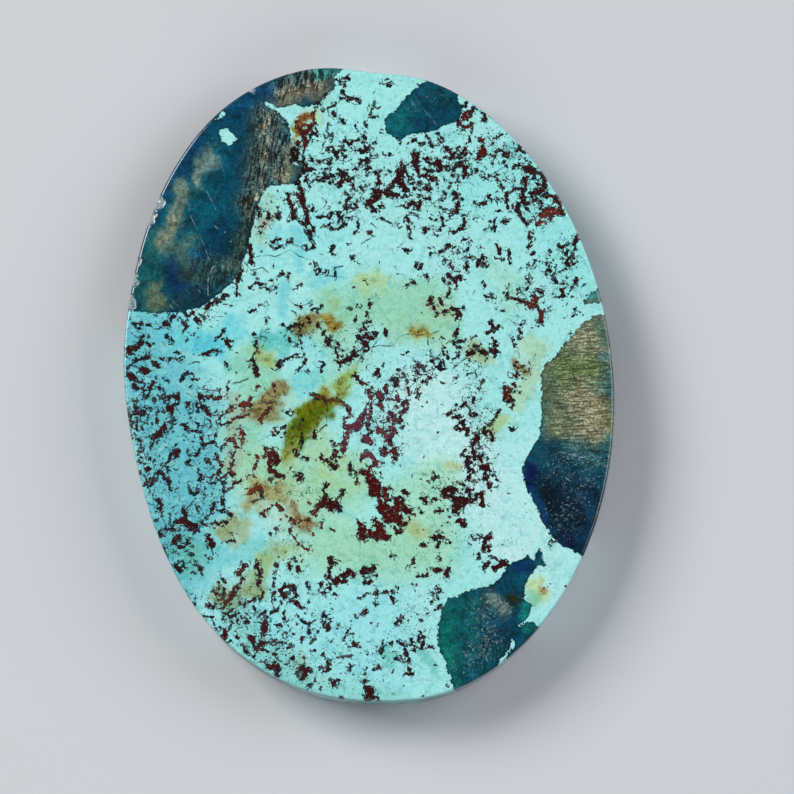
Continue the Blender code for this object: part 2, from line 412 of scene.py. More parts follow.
# Fine pale specks in the blue patches: strength, reach, and the path that they crowd along
SPARKLE_WASHES = (
    ("everywhere", 0.35, 500, "397,397"),
    ("right patch, foot", 1.0, 34, "556,470 590,480 565,520"),
    ("right patch, pale band", 1.25, 10, "562,456 585,460 602,464"),
    ("upper left patch, foot", 0.7, 18, "190,240 215,255 232,262"),
    ("upper left patch, beside the grain", 0.6, 12, "246,110 244,160 238,215"),
    ("foot patch", 1.15, 26, "480,610 490,640 470,660"),
    ("foot patch, grey", 1.6, 11, "490,597 505,608"),
    ("head patch", 0.8, 14, "440,95 410,110"),
)

# Where the patches show tan grain: strength, reach, and the path that it lies along
GRAIN_WASHES = (
    ("upper left patch, beside the wedge", 1.0, 15, "264,114 263,150 258,180 252,215"),
    ("upper left patch, right of it", 1.0, 14, "278,115 280,150 278,178"),
    ("upper left patch, foot of the grain", 0.8, 10, "250,215 246,240 237,265"),
    ("head of the grain", 1.0, 15, "285,84 320,76"),
    ("right patch", 0.62, 38, "575,345 585,380 580,425"),
    ("right patch, pale band", 0.7, 12, "580,452 602,458"),
    ("upper left patch, olive foot", 0.7, 20, "205,275 228,280"),
)

# Painted shade, a darker teal, on the wall under the foot: strength, reach, and the path beside it
FOOT_WALL_PAINTED_SHADE = (
    ("under the foot", 1.0, 26, "210,655 260,690 300,708 360,722 430,716"),
)

# Colours that the material mixes in
FLECK_EDGE_COLOR = "0d171b"
SPECK_COLOR = "0c2026"
CRACK_COLOR = "132a30"
SCRATCH_COLOR = "b4cccb"
# The chips' pale, partly the broken stone's own colour and partly a painted glint
CHIP_BREAK_AND_GLINT_COLOR = "cfe0e0"
MATRIX_CLOUD_COLOR = "c4eeea"
MATRIX_HOLE_COLOR = "a6e3dd"
RUST_LINE_COLOR = "5c3119"
PATCH_MOTTLE_COLOR = "2b5a60"
PATCH_DUST_COLOR = "94aeab"
PATCH_DARK_COLOR = "061820"
PATCH_MARGIN_COLOR = "0a2024"

# Tints that the material multiplies by
# The tint of the painted shade under the face's edge and on the wall under the foot
PAINTED_EDGE_SHADE_TINT = "2f7f7d"
MATRIX_DEEP_TINT = "b9e2e8"
MATRIX_GREEN_TINT = "c4dcc0"
MATRIX_SHADE_TINT = "a9d3d2"
MATRIX_RUST_TINT = "b49a70"

# The floor, half its side in metres, and the studio's own light
FLOOR_COLOR = "c9cbd0"
FLOOR_HALF = 0.6
STUDIO_COLOR = (0.90, 0.93, 0.97, 1.0)
STUDIO_STRENGTH = 0.06

# Square softboxes: name, place and size in metres, power in watts, and tint
SOFTBOXES = (
    ("key_softbox", (-0.46, 0.34, 0.52), 0.40, 5.4, (1.0, 0.985, 0.96)),
    ("fill_softbox", (0.50, 0.10, 0.42), 0.50, 2.4, (0.95, 0.98, 1.0)),
    ("front_softbox", (-0.10, -0.60, 0.42), 0.50, 1.6, (0.97, 0.99, 1.0)),
)

# The seed of the noise that bends washes and marks
NOISE_SEED = 2

# Marks no wider than this many pixels are drawn as cracks, which stay whole where wider flecks are ragged
THIN_MARK = 1.6

# How far marks waver from the paths read for them, in pixels
MARK_WAVER = 1.6

# Hairline cracks, read as the flecks are
CRACKS = """
1.2 440,331 430,334 418,335 405,334 398,338 394,345 388,347 380,345 372,347 365,352 360,360 356,370 353,378;
1.1 353,378 350,385 343,392 336,399; 1 327,402 327,420 326,426 320,431; 1.1 302,420 297,432 291,440;
1 244,262 252,270 262,268 268,272; 1 255,258 266,254 276,257 290,250 300,256 308,260;
1 262,330 258,340 257,352;
0.9 300,205 308,214 312,224 316,236; 0.9 330,345 341,351 350,349; 0.9 384,330 380,340 372,346;
0.9 262,440 270,436 281,432; 0.9 290,300 296,306 305,306 312,300; 1.2 262,392 262,404 276,403;
1.2 303,440 301,448 297,458 306,462; 1.4 282,384 285,396; 1.3 264,388 270,396 278,398;
1.2 250,502 258,499 268,495;
"""

# Fine pale scratches and white specks on the blue patches: width, then the places that each runs through
SCRATCHES = """
1 206,190 213,203 216,210; 0.9 190,215 200,235 205,248 210,262; 1.3 219,260 211,270 208,280 208,295;
1 185,288 190,294; 1.2 215,226 218,229; 1.1 230,241 236,245; 2 225,232; 2 212,138; 1 198,290 203,296;
1 425,98 430,95; 0.8 424,110 432,119 440,129; 0.9 560,452 575,455 600,462; 1.6 575,500; 1.6 582,524;
1.5 566,519; 1.4 553,507; 1.5 589,502; 0.9 590,381 612,381; 1 485,655 488,662; 1.1 489,631 490,632;
1 483,634 484,636; 1.2 466,658; 0.8 162,295 168,303 176,312; 0.8 186,200 190,210; 1.3 240,262 238,258;
0.8 219,160 224,172; 1.2 200,199; 1.2 222,184; 1.2 218,254; 0.9 172,300 182,310; 1.2 566,478 572,482;
"""

# The flecks, by area of the face: the width of each, then the places that it runs through, in pixels
FLECKS = {
    "rust spot by the wedge, middle": """
5.5 299,126 303,124 308,125 313,124; 5.5 300,130 306,131 312,130; 6 303,133 305,138; 3 311,133 314,128;
""",
    "brown spot on the right": """
2.5 517,362 521,366 526,364; 2 522,370 528,372 530,366; 2 514,372 519,376;
""",
    "rust spot by the wedge, round it": """
2.5 309,136 312,134; 4 296,142 300,143; 4 306,139 305,146 303,152; 2 298,122 297,128; 2 296,123 299,120;
2 303,119 305,121; 3 312,113 313,118; 2 314,119 314,124; 2.5 316,127 317,135; 6 294,148 294,158;
5 298,150 297,160; 4.5 291,160 299,161; 4 305,160 302,173; 3 300,176 296,183; 2.5 308,168 313,170;
4 300,182 301,190; 3 305,176 309,186; 2.5 317,103 315,108; 2 321,110 323,112; 2.2 313,139 316,139;
1.8 322,82 326,88; 1.7 318,92 322,97; 1.7 326,90 324,96; 1.7 330,84 327,88; 1.8 316,100 319,104;
1.7 310,95 313,99; 1.7 303,101 307,103;
""",
    "upper left": """
2.5 336,78 340,82 346,78; 3 345,86 342,90 344,95; 2 347,77 350,79; 2.5 328,107 331,105 335,105;
1.5 328,107 328,116 333,118 337,112 336,106; 3.5 333,114 336,117; 2 341,91 341,97 348,97;
1.2 341,97 338,103; 3.5 348,101 352,98 357,99 359,103; 2 314,139 314,139;
1.6 323,134 325,138 329,136 333,132 333,138 331,142; 1.4 327,130 329,136; 2.8 327,148 329,152;
2.6 328,148 332,147 334,152 339,157 343,159 347,155 343,151 338,152; 2 338,122 338,122; 5 343,120 344,122;
3.5 344,140 349,142 354,143 358,140; 2.2 350,148 356,150; 2 355,124 358,131 362,130;
4 361,133 364,138 362,143; 3 362,143 366,147 372,146 375,142; 2.5 363,122 367,126; 4.5 304,162 306,168;
2.5 305,158 311,160 318,161 324,160 329,161; 2.5 306,170 312,170; 1.5 308,153 316,156;
3 317,179 325,178 330,177; 3 324,172 327,168 330,170; 2 329,172 332,174 333,183; 3 331,158 330,162;
3 337,174 343,176; 3 340,170 344,173 349,176 352,180; 3.5 355,168 358,170 360,163; 5 360,150 366,150;
3.5 361,160 366,160 368,168 371,168; 3 258,205 259,215; 3 288,194 293,193; 4 288,194 288,200;
6 290,201 292,210 292,217; 1.5 296,200 299,207; 4.5 297,194 303,204 307,212; 4.5 300,186 303,190;
6 301,190 304,200; 2 312,205 314,209 312,212; 1.3 320,209 325,207 326,202 322,198; 3 325,180 330,182;
2 328,209 330,207; 7 340,183 343,179; 3.5 345,192 349,197 346,202 348,208; 4 345,208 352,208 358,208;
3.5 347,180 353,184 355,188; 4.5 354,204 356,207; 1.3 359,202 362,195 366,190; 3 360,186 364,190;
2.2 256,228 262,226 256,234 261,232; 3.5 267,211 269,217; 3.5 277,211 278,217; 2 294,218 298,221 302,222;
3.5 302,222 305,226 309,233 312,240 313,246; 6 306,213 308,222; 3 310,222 313,227 311,234;
2.2 317,218 320,218; 2.6 323,216 330,218 331,212; 2.5 324,227 330,225 331,230 338,229 343,226 346,224;
2.8 335,215 341,212; 2.5 338,222 339,217 344,223 348,217 355,217; 3 343,223 344,225;
1.8 357,222 359,226 355,233 354,235; 4 249,245 251,255 251,265; 1.8 251,266 255,272 257,279;
2.5 270,246 275,240 282,239; 1.8 270,246 272,249 280,247 288,242; 2.5 273,266 273,266; 4 288,242 292,242;
1.5 292,243 295,245 303,249 309,251; 2 305,246 307,250; 2.5 311,247 313,247; 2 311,262 316,266;
1.5 320,254 323,255; 2.5 330,249 334,247; 3.5 332,251 332,254; 1.5 335,267 343,266;
2.2 335,268 334,273 335,276; 1.8 352,257 355,261; 1.5 361,243 375,236;
4.5 226,294 219,299 212,303 205,307; 3 243,270 239,276 236,284 237,296; 3 250,287 255,283 262,284;
2.5 266,284 268,280 271,281; 2 266,284 268,290; 3 274,287 277,286; 3 278,276 282,274 287,277 288,274;
1.5 288,278 289,282; 2 293,289 297,288 300,284; 2.8 316,270 320,269 319,274 324,274 327,271;
2.5 364,281 366,282; 4.5 193,313 186,316; 1.5 200,317 206,311 212,309; 1.8 250,311 255,310;
2.2 261,306 267,304; 1.5 292,311 296,313 296,316; 3 297,306 301,308; 3.5 308,318 310,319;
2.5 310,306 313,305; 2.5 312,310 318,309 322,305; 2.5 354,318 357,320; 2 357,305 360,307;
""",
    "upper right": """
2.5 384,84 387,82 391,81 395,85; 2 386,85 392,86; 2.5 369,105 372,109 369,113 376,118; 2 374,103 378,107;
3 466,103 463,105; 9 468,113 464,117; 3 473,108 478,109; 2.5 481,112 487,115; 5 483,118 485,118;
2.5 380,132 382,130; 2 397,138 399,142; 2 410,137 413,141 416,138; 3 421,145 426,143; 3 427,136 428,139;
2.5 428,141 431,145; 3.5 438,133 439,142; 2.5 443,137 443,143; 5 446,148 450,152 454,154;
2.5 459,147 467,147; 5 463,120 457,124; 5 463,126 469,126; 3 463,134 463,135; 3 470,137 469,141;
3 471,122 472,131; 5 480,137 482,139; 2 492,143 493,143; 2.2 497,148 495,156 493,163;
2 503,133 498,136 493,139; 3 517,149 522,150 526,152; 4 519,147 521,149; 2.5 370,173 374,172;
2 372,155 376,155; 4.5 378,173 379,182 379,188; 1.5 388,170 380,171; 1.5 389,171 391,176;
2.5 390,154 391,154; 4 399,170 396,177 392,183 388,190; 5 402,164 403,170; 8 402,174 401,183;
2.5 405,170 409,177; 8 414,155 415,163; 5 417,168 420,174; 3 419,153 423,156 424,160;
5 422,175 428,175 433,180; 3 424,170 432,172; 3.5 426,159 430,163 434,162; 6 432,177 435,178;
7.5 438,161 440,170; 2 442,176 446,181; 4 444,158 450,157 457,158 462,155; 3 449,167 450,168;
3 452,175 453,176; 3.5 454,169 460,164 466,160; 4 458,178 457,182; 7 462,166 465,168 466,176;
6 463,150 466,152; 4 470,152 472,154; 2.5 470,168 472,175; 3 477,170 479,172; 5 478,157 480,160;
2 480,174 486,174 493,176 499,176; 2.5 480,174 484,178 489,178; 9 484,150 483,153; 3 504,164 507,165;
7 506,153 508,154; 4 513,166 520,166 527,166; 2.5 517,151 516,154; 6 526,176 526,186; 3.5 526,158 529,161;
9 529,169 534,172; 2.5 532,179 535,180; 5 542,173 545,180 543,185; 7 367,203 372,201 378,196;
4 370,205 373,210 378,210; 5 372,190 378,191; 3.5 378,206 383,206; 5 379,192 388,194 396,196;
1.5 395,207 401,207; 3 400,195 403,198; 3.5 404,205 408,208 410,204; 2.5 405,192 408,198;
5 406,190 402,186; 4 410,180 416,184 420,182; 2.5 411,195 412,196; 4 413,203 418,207 420,203;
4 414,188 415,189; 2.5 419,192 420,196; 3 423,201 418,203; 6 425,187 428,189; 2.5 428,196 431,200;
3 438,201 442,200; 2 442,207 449,213 450,218; 2.5 445,195 445,198; 4.5 453,193 456,196 454,199;
4.5 459,203 457,208 456,212; 2.5 463,200 463,201; 4 478,206 482,203 486,203; 3 489,195 491,199;
3.5 498,198 498,199; 3.5 501,185 505,188; 5 506,192 507,200 508,208; 4 512,189 520,188;
5 518,204 516,209 521,214; 6 521,192 523,200; 4 524,202 532,202 538,198; 2 527,208 530,211;
6 531,194 538,191 545,189; 2.5 534,205 535,205; 2 539,181 536,189; 2.2 541,200 541,208;
4.5 544,196 552,196 557,197; 5 557,200 561,206; 2 368,234 372,231; 1.3 371,223 377,228;
3.5 381,217 382,218; 1.8 389,223 395,226; 1.3 395,220 399,228; 4 407,218 409,224 409,229;
3 409,232 411,236 412,238; 2.5 411,212 418,215 417,209; 4 423,231 425,230 428,228;
2.5 430,217 433,220 435,219; 2.5 437,230 441,229 442,226; 3 442,217 444,224; 3 461,228 457,230 453,234;
4.5 464,217 465,222 462,227; 2 464,239 467,240 469,245 467,250 463,252; 2 485,230 489,228 495,230;
2.2 495,219 495,229; 2 496,211 500,210; 4 504,222 508,221; 3 521,214 523,220 527,225;
3 530,232 529,235 531,240 530,245 528,250; 2.5 532,220 536,218; 6 538,223 542,222; 7 541,217 545,215;
8 546,212 553,211 561,212; 5 550,217 551,221; 4 577,236 576,241 574,243; 2.5 401,246 405,251 410,251;
3.5 416,264 417,269; 3 422,265 419,269; 2.5 429,248 432,251 431,255; 4 440,253 445,250 450,246;
3 445,262 447,266 450,263; 4 449,264 453,268; 2 456,247 456,250; 4 467,262 467,269;
3.5 468,257 474,257 479,261 477,266; 4 483,255 484,259 483,264 487,265; 2 496,258 502,260 507,259;
4 497,245 499,250 499,254; 3 508,250 509,256; 3 508,258 510,262; 2.8 528,267 533,264 535,261;
2 528,262 530,266; 3.5 534,251 532,254; 3 548,269 551,271; 3 550,264 551,266; 2 556,265 558,269;
3.8 560,245 563,247 566,246; 4 566,264 568,261 571,265 575,262; 2.5 568,247 566,252 568,257 569,262;
3.2 575,246 574,252 574,260; 1.5 396,274 404,275; 2.5 405,287 407,286; 3.5 412,279 415,282;
2 418,277 420,276; 4 427,275 427,279; 4 430,297 430,303; 2.5 443,276 446,283 450,288 449,294 445,297;
4 448,274 450,277; 4 452,277 455,281 457,285; 4 458,276 460,280; 1.5 475,290 473,294; 4 484,283 485,286;
2 485,296 490,298 495,297; 3 506,293 507,300; 3.5 512,298 517,301 524,301; 2.5 514,293 516,294;
3 520,290 526,289; 4 527,277 529,282; 9 535,299 533,304; 3.5 538,290 542,293; 2 553,297 561,296;
2.5 554,280 557,283 562,283; 2.5 560,271 566,268; 3 561,288 566,289; 3.2 562,284 569,285;
4 562,290 564,294; 5 574,281 576,279; 2.8 369,303 370,309 367,316; 3.5 434,308 438,314; 3 439,300 442,304;
4 445,312 447,311; 3 451,308 456,311; 7 457,312 459,314 457,318; 3 461,310 463,309; 3.5 498,311 503,311;
7 527,302 534,307; 7 541,312 542,318; 3 546,312 549,311; 2.2 574,308 575,314 572,317;
""",
    "middle left": """
4 134,324 141,324; 2 139,328 143,336 141,343; 2.5 147,324 151,325; 1.5 153,329 158,328 162,324;
5 163,324 170,325; 4 172,320 174,316; 3 181,320 186,326 183,331; 4 195,320 201,321;
2.2 267,320 268,328 266,332; 2.5 283,325 284,325; 2.6 288,328 294,325 298,325 303,326 308,323;
4 308,323 311,322; 3 318,325 318,326; 2 360,323 367,323 371,322; 1.5 125,330 130,327;
6 129,352 131,347 136,346; 1.4 131,333 140,338; 4 136,346 143,343 150,346; 3 147,355 153,359;
2.2 160,358 164,358 168,362 172,358; 1.5 163,342 166,346; 3.5 166,336 172,342; 2 174,352 178,352 181,355;
2 176,359 183,360; 2 187,338 184,343; 1.5 199,356 204,355; 4 203,355 210,353 217,350;
3.5 216,337 220,336 224,330; 1.5 217,350 221,353 226,351; 2.5 224,341 234,341 229,348; 5 226,343 229,346;
2.5 253,333 254,333; 3.5 256,340 255,346 256,352; 1.2 258,338 261,337 268,338 264,343 262,348;
2.5 289,338 290,342; 1.5 292,335 306,335; 3.2 295,343 297,345; 1.8 300,331 300,340 301,347 303,353;
2.6 303,353 304,357 306,360 302,366 298,371; 1.5 322,347 326,345; 4 324,331 325,336 329,339;
4 326,340 328,346; 2.2 329,339 335,342 339,346; 1.5 330,347 333,349; 3 335,350 338,356 338,362 339,367;
2 354,354 355,350; 2.5 355,357 360,356; 5 359,338 366,338 372,337 376,335;
4 361,330 364,328 366,335 367,345; 6 363,340 366,346; 4 363,351 368,350; 6.5 129,374 133,378;
2 131,365 136,367; 4 133,384 136,385; 2 135,360 144,358 150,355; 4 138,388 144,390; 7 141,369 147,372;
2 141,383 147,383; 5.5 149,389 153,383; 5 152,361 158,366; 2.5 158,386 160,388; 2 163,377 167,381;
3 181,379 184,376; 2.2 185,374 188,372 193,374; 1.5 189,365 193,362 199,362; 2.2 192,380 197,380;
2.5 227,363 229,370; 2.2 228,384 227,392 224,396; 1.5 232,384 240,382 248,379; 4.5 252,360 255,366;
6.5 256,370 257,374; 3 258,387 256,390; 2.2 273,369 279,369; 3 274,387 275,392; 5 277,363 280,362 280,367;
2.2 283,360 290,358 297,354; 2.5 307,371 308,371; 2.5 322,362 324,365 321,368 321,372; 3 338,369 339,370;
6 340,364 347,360 353,355; 5 355,376 359,380 362,384; 3 362,385 368,391; 2 129,410 131,425 133,437;
1.8 131,409 137,407 150,408 153,409; 6 134,412 142,411; 4 140,414 138,418; 2 150,392 146,396;
2.2 150,409 148,416 143,424 142,430; 4 157,409 156,420; 2 164,394 170,396 175,392; 3 165,400 170,401;
5.5 174,404 168,407 171,411; 6 177,396 178,400; 1.3 184,402 186,411 190,415 194,411 193,402;
1.5 186,393 190,395 193,398; 4 188,403 190,408; 2.5 194,418 199,424 198,432; 2.2 196,403 199,412;
4.5 199,394 200,400 202,405; 1.5 203,390 209,390 218,391 223,397; 5.5 204,410 210,415;
3.5 206,396 213,398 221,398; 3 210,419 211,421; 6 242,404 247,403; 4 250,398 249,404;
3 262,417 268,411 270,409; 1.5 264,402 278,402; 4 264,414 261,422; 3 288,411 293,413; 2 303,419 304,419;
3.5 310,395 322,398 330,400 340,401; 1.3 327,408 327,420 326,425 320,430;
3.6 340,401 346,406 351,411 349,416 344,420; 2.5 137,420 136,430; 3 139,440 141,448; 3 152,444 155,439;
6.5 154,437 159,433 165,425; 2.5 165,425 169,420; 2 168,432 172,429; 1.5 183,434 187,437;
5.5 185,425 187,429; 2.5 189,430 197,432; 3 200,437 202,445 208,443 214,441; 1.3 204,420 205,426;
2 213,426 217,431 214,439; 3 221,424 221,416 226,410 236,406; 2 222,446 229,441;
3 226,424 233,420 240,417 248,413; 1.2 228,431 234,426; 3.5 229,441 233,436 235,441 237,448;
4 241,430 243,436 241,441; 4 267,449 272,451; 4 273,434 277,433 274,429; 3 281,438 285,434;
3 284,427 281,430; 2 302,433 303,440 300,447; 4 313,432 315,437; 2.5 332,441 337,446 342,445;
7 346,425 350,428 356,424 362,417; 6 348,432 345,440 344,450; 6 356,430 361,425;
2.5 137,452 140,457 146,460 150,459; 2.5 141,462 144,464; 5 145,468 148,470; 3.5 147,479 148,486;
1.8 149,471 154,467 156,462; 2 163,478 163,472 169,470; 2.5 172,453 169,459 165,465 168,470;
5 173,452 177,451; 4 174,457 178,455; 2.5 189,450 190,458 189,466 195,462; 2.5 190,456 196,456 200,452;
3.5 198,471 202,477 200,480; 4 206,461 209,463; 2.8 216,453 218,457 222,463 219,470 218,476 213,481;
3 226,474 223,478; 4.5 231,464 231,470 233,473; 3 232,452 232,457; 3 254,464 256,466 254,469;
3.5 257,457 258,460; 4 266,457 270,456; 4 267,463 270,470; 6 269,452 271,462; 5 270,470 277,474 283,476;
11 273,454 276,460; 5 296,475 301,476 298,481; 3 297,450 297,455; 2.5 302,457 307,458 306,463;
4.5 320,457 326,461; 7 328,463 333,466; 5 333,460 336,452; 3 335,462 336,468; 4 341,452 346,452;
2 343,457 340,459; 3 350,465 350,472; 1.8 355,473 358,480 359,484; 2 360,458 361,462; 6 362,472 366,474;
6 363,456 368,453 374,458 376,464; 3 150,485 153,480 155,474 160,473 164,478; 2.5 169,481 169,489;
2 189,484 191,492; 2.5 196,493 200,490; 3 212,482 216,481; 4 222,499 222,504; 2.5 224,492 224,482;
2.5 240,480 233,486 225,492; 5 249,494 252,491; 6 252,490 259,486; 2.5 262,488 263,496;
1.5 275,482 276,487; 1.5 300,480 305,479; 3.5 324,494 324,490 326,483; 8 325,498 335,508;
4.5 327,483 328,484;
""",
    "middle right": """
3 385,328 386,335; 4 456,329 455,338; 4.5 491,323 494,327 491,331 488,333; 3.5 498,325 498,329;
2.5 515,324 516,324; 3.2 521,325 525,323; 6 541,320 541,323; 3.5 374,334 376,338; 2 407,352 403,354;
1.5 428,338 428,346; 2.5 430,350 430,351; 2 439,359 444,363 445,368 441,369; 3.5 443,352 443,356;
1.8 444,340 441,344 444,348; 3 447,352 448,359; 3 453,341 459,341 463,342; 2 455,343 458,348 460,346;
1.8 460,350 457,356 453,360; 3.5 466,357 470,354; 6 469,352 472,351; 3 474,346 479,346; 5 480,351 486,353;
2 487,356 490,353; 5 492,349 496,350 495,354; 3 493,337 494,343 497,346; 2.2 510,338 514,341 515,346;
1.5 518,350 519,358; 3.5 519,330 521,333 520,337; 4 365,383 367,386; 3 372,388 373,389; 5 377,370 378,376;
4 387,386 386,392; 2.5 391,377 391,382; 2 398,370 399,374; 2 398,379 396,388; 4 408,388 409,395;
3 415,380 415,381; 3.5 418,362 419,368 418,374; 2.2 422,382 422,383; 2.5 424,372 425,372;
2.2 425,382 425,383; 3 428,376 430,380; 2.5 432,361 437,358; 2.5 437,366 440,368;
1.2 451,363 460,363 466,358; 3 456,379 456,381; 2.5 477,387 478,389; 6 505,388 506,400; 6 509,388 510,392;
4 512,373 516,378; 3 513,365 517,367; 3.5 514,383 516,387; 4 366,405 366,415;
4 369,391 372,400 370,410 368,420; 3 372,395 373,405; 7 379,394 381,397; 5 380,404 382,408;
5 388,418 394,420 400,420; 3 390,414 395,414; 3 394,409 402,405 407,401; 5 398,396 398,400;
4 399,412 401,412; 4 406,403 408,408 405,410; 4 418,391 418,397; 3.5 444,414 448,414 452,412;
2 453,407 457,405; 4 456,418 463,416; 3 461,406 467,402; 4 467,404 469,408; 3.5 470,415 476,414;
2 473,398 474,405; 3 498,412 496,417 492,420; 6 508,396 510,400; 3 512,406 511,410; 3.2 517,390 519,391;
8 365,438 370,441; 3 368,420 367,427 371,432; 2.5 375,420 377,425; 4 376,431 378,433; 7 378,429 383,432;
5 382,449 384,450; 5 385,437 390,438 392,435; 5 387,441 390,445; 7 390,427 394,430 392,434;
4 395,449 396,450; 2.5 402,428 405,426; 6 458,428 464,428 470,431; 4 464,420 463,425; 5 466,433 467,434;
2.5 467,421 470,423; 3 471,448 472,449; 2 476,428 480,434; 7 478,438 474,442; 5 484,427 485,433;
3 489,430 492,437; 5 492,436 493,441; 3 510,427 512,430; 10 371,478 374,485 374,492; 4 376,464 368,470;
4 378,474 380,474; 3 379,460 382,463; 6 384,453 391,451 397,453; 5 395,457 396,459; 3.5 462,455 465,451;
5 468,458 468,466; 4 469,473 469,480; 4 473,470 474,471; 5 474,452 474,459; 4 479,455 481,463 482,467;
7 484,467 487,468; 2 484,452 482,456; 5.5 486,474 488,480 489,485; 2.5 487,470 491,474 496,477;
5 378,482 379,495 381,505; 7 385,490 387,500; 2.5 391,488 393,492; 6 405,493 407,493; 3.5 405,497 402,505;
4.5 423,498 427,503; 4 434,480 437,477; 7 444,495 446,490 451,488; 7 447,496 452,496 458,499;
5 451,488 456,489; 3 460,493 461,493; 2.5 460,482 464,486; 2.5 465,489 474,489; 3.5 468,490 471,494;
3 472,482 473,483; 5 478,494 482,494 482,500 482,504; 3 479,480 480,482; 1.5 494,488 498,487 499,485;
3.5 497,480 498,480;
""",
    "lower left": """
2.5 155,500 161,503 162,516; 4.5 159,509 161,511; 5 184,509 184,514; 4 214,503 213,509;
2 216,509 219,511 224,511 228,508; 1.5 253,503 262,499; 4 277,505 281,509; 12 327,503 331,506;
3 336,500 340,497 344,491; 3 337,502 338,511; 2.5 160,531 161,538; 1.5 163,519 166,529;
1.8 166,529 172,528 177,527; 1.5 170,516 171,526; 7 178,521 186,522; 8 184,519 185,523;
1.5 185,510 190,505 194,500; 1.2 188,516 196,516; 8 190,525 194,525; 5 191,529 198,530;
2.5 201,519 203,524 208,522; 6.5 208,537 211,541 212,546; 2 211,510 211,514 205,518;
3 214,521 219,524 223,520; 4 225,521 226,522; 5 230,513 231,516; 3 232,534 234,536;
4.5 265,511 263,514 265,517; 2.5 268,510 272,505; 3 272,532 271,536; 2 277,529 275,534;
3 290,530 292,535 296,540; 5 292,520 297,523; 2.5 297,520 303,519; 4 308,518 313,515; 3 312,533 312,535;
5.5 313,514 319,507 322,503; 2 316,517 317,517; 2.5 322,520 321,527; 2.5 338,511 341,511;
6 359,522 365,532; 8 361,525 362,538; 1.8 163,545 165,552 168,555; 6 174,541 178,537; 2 176,549 178,553;
4 177,566 180,570; 4.5 178,548 182,546; 3 182,562 184,566; 3 188,540 189,544;
3 193,561 198,563 201,569 201,574; 2.5 208,558 209,558; 1.5 211,548 213,554; 1.8 222,540 229,542 235,541;
5 256,560 258,568 260,575 258,584; 2.5 279,565 275,569 274,579 275,590 274,600; 5 289,562 290,568;
3 293,559 296,562; 3.5 297,541 301,545 305,548; 4 297,567 299,571; 2.5 303,560 303,561; 4 305,549 308,552;
2.5 308,545 307,548; 4 330,558 332,563 331,567; 2.5 336,563 337,564; 2.5 186,595 192,595 195,599 194,606;
2.5 194,572 194,574; 2.5 214,591 216,595; 4.5 218,599 224,598; 3 219,580 225,580; 3.5 219,580 219,586;
2 224,582 225,592 223,596; 3 236,587 243,580; 6 237,576 241,570 245,565; 7 281,591 284,595;
5 284,588 293,586; 3.5 294,588 296,596; 2.2 307,582 309,592 309,602; 2 318,592 321,592;
3 321,583 324,588 323,594; 4 326,577 330,579; 4 327,585 330,587; 1.8 329,570 330,578; 3 331,594 336,595;
5 333,580 337,584; 6 337,578 344,575 349,572; 5 340,582 345,581; 6.5 348,573 353,575; 2.5 361,598 367,593;
7 362,573 368,571 373,567; 2 204,616 210,616 214,620 214,624; 3 209,604 214,608; 2.5 215,629 222,628;
3 222,618 226,616 231,618 237,613; 3.5 225,601 225,606 222,609; 6.5 228,600 232,595 235,589;
2 236,622 241,617; 1.5 237,628 242,627; 3 239,602 244,606; 3 242,622 248,622; 2.5 248,602 255,600;
3 254,607 256,612; 3 255,600 262,598 263,592; 2 258,618 262,612; 7 265,620 264,625 264,631;
3 266,612 265,617; 2.2 270,613 277,610 281,603 283,599; 2 272,603 274,600; 1.8 275,626 281,626;
1.5 284,606 288,602; 2.8 284,613 285,620; 4.5 291,601 298,604 305,609; 2 294,614 298,616;
2 303,620 309,624 317,620; 2 309,624 309,633 312,641; 1.8 324,611 322,617 322,624 324,628;
1.8 324,614 326,620 324,626; 1.5 325,616 330,614; 4 328,625 329,630; 2.5 331,620 331,621;
2.5 338,624 338,625; 1.8 350,625 348,632 345,637 342,642; 2 356,614 356,616; 4.5 364,612 366,610;
6.5 224,631 226,635 223,637; 2.5 227,631 231,625 233,623; 2 227,643 232,641; 4 236,634 239,640;
3.5 243,643 245,652; 3 247,636 249,637; 6 250,637 253,642; 3.5 253,655 257,652; 5 255,649 262,650;
5 261,643 258,649; 3.5 262,635 261,641; 3.5 263,643 269,643 273,641; 3 264,650 268,650;
2.5 273,653 275,654; 1.5 277,632 282,628; 2.5 283,642 283,643; 3 286,648 291,647; 2.5 290,632 294,634;
3 291,657 292,658; 4 301,640 303,637; 2.5 313,651 314,651; 2 319,630 319,632; 2.5 323,653 323,654;
4 352,643 356,646; 7 270,668 277,667; 4 277,663 278,672; 6 302,667 305,671 303,677; 4 308,668 312,672;
3.5 309,686 310,686; 2 317,671 319,668; 3.5 327,661 329,669 325,672 322,671; 5 331,682 337,680 332,685;
2.2 351,667 350,673; 5 342,697 343,699;
""",
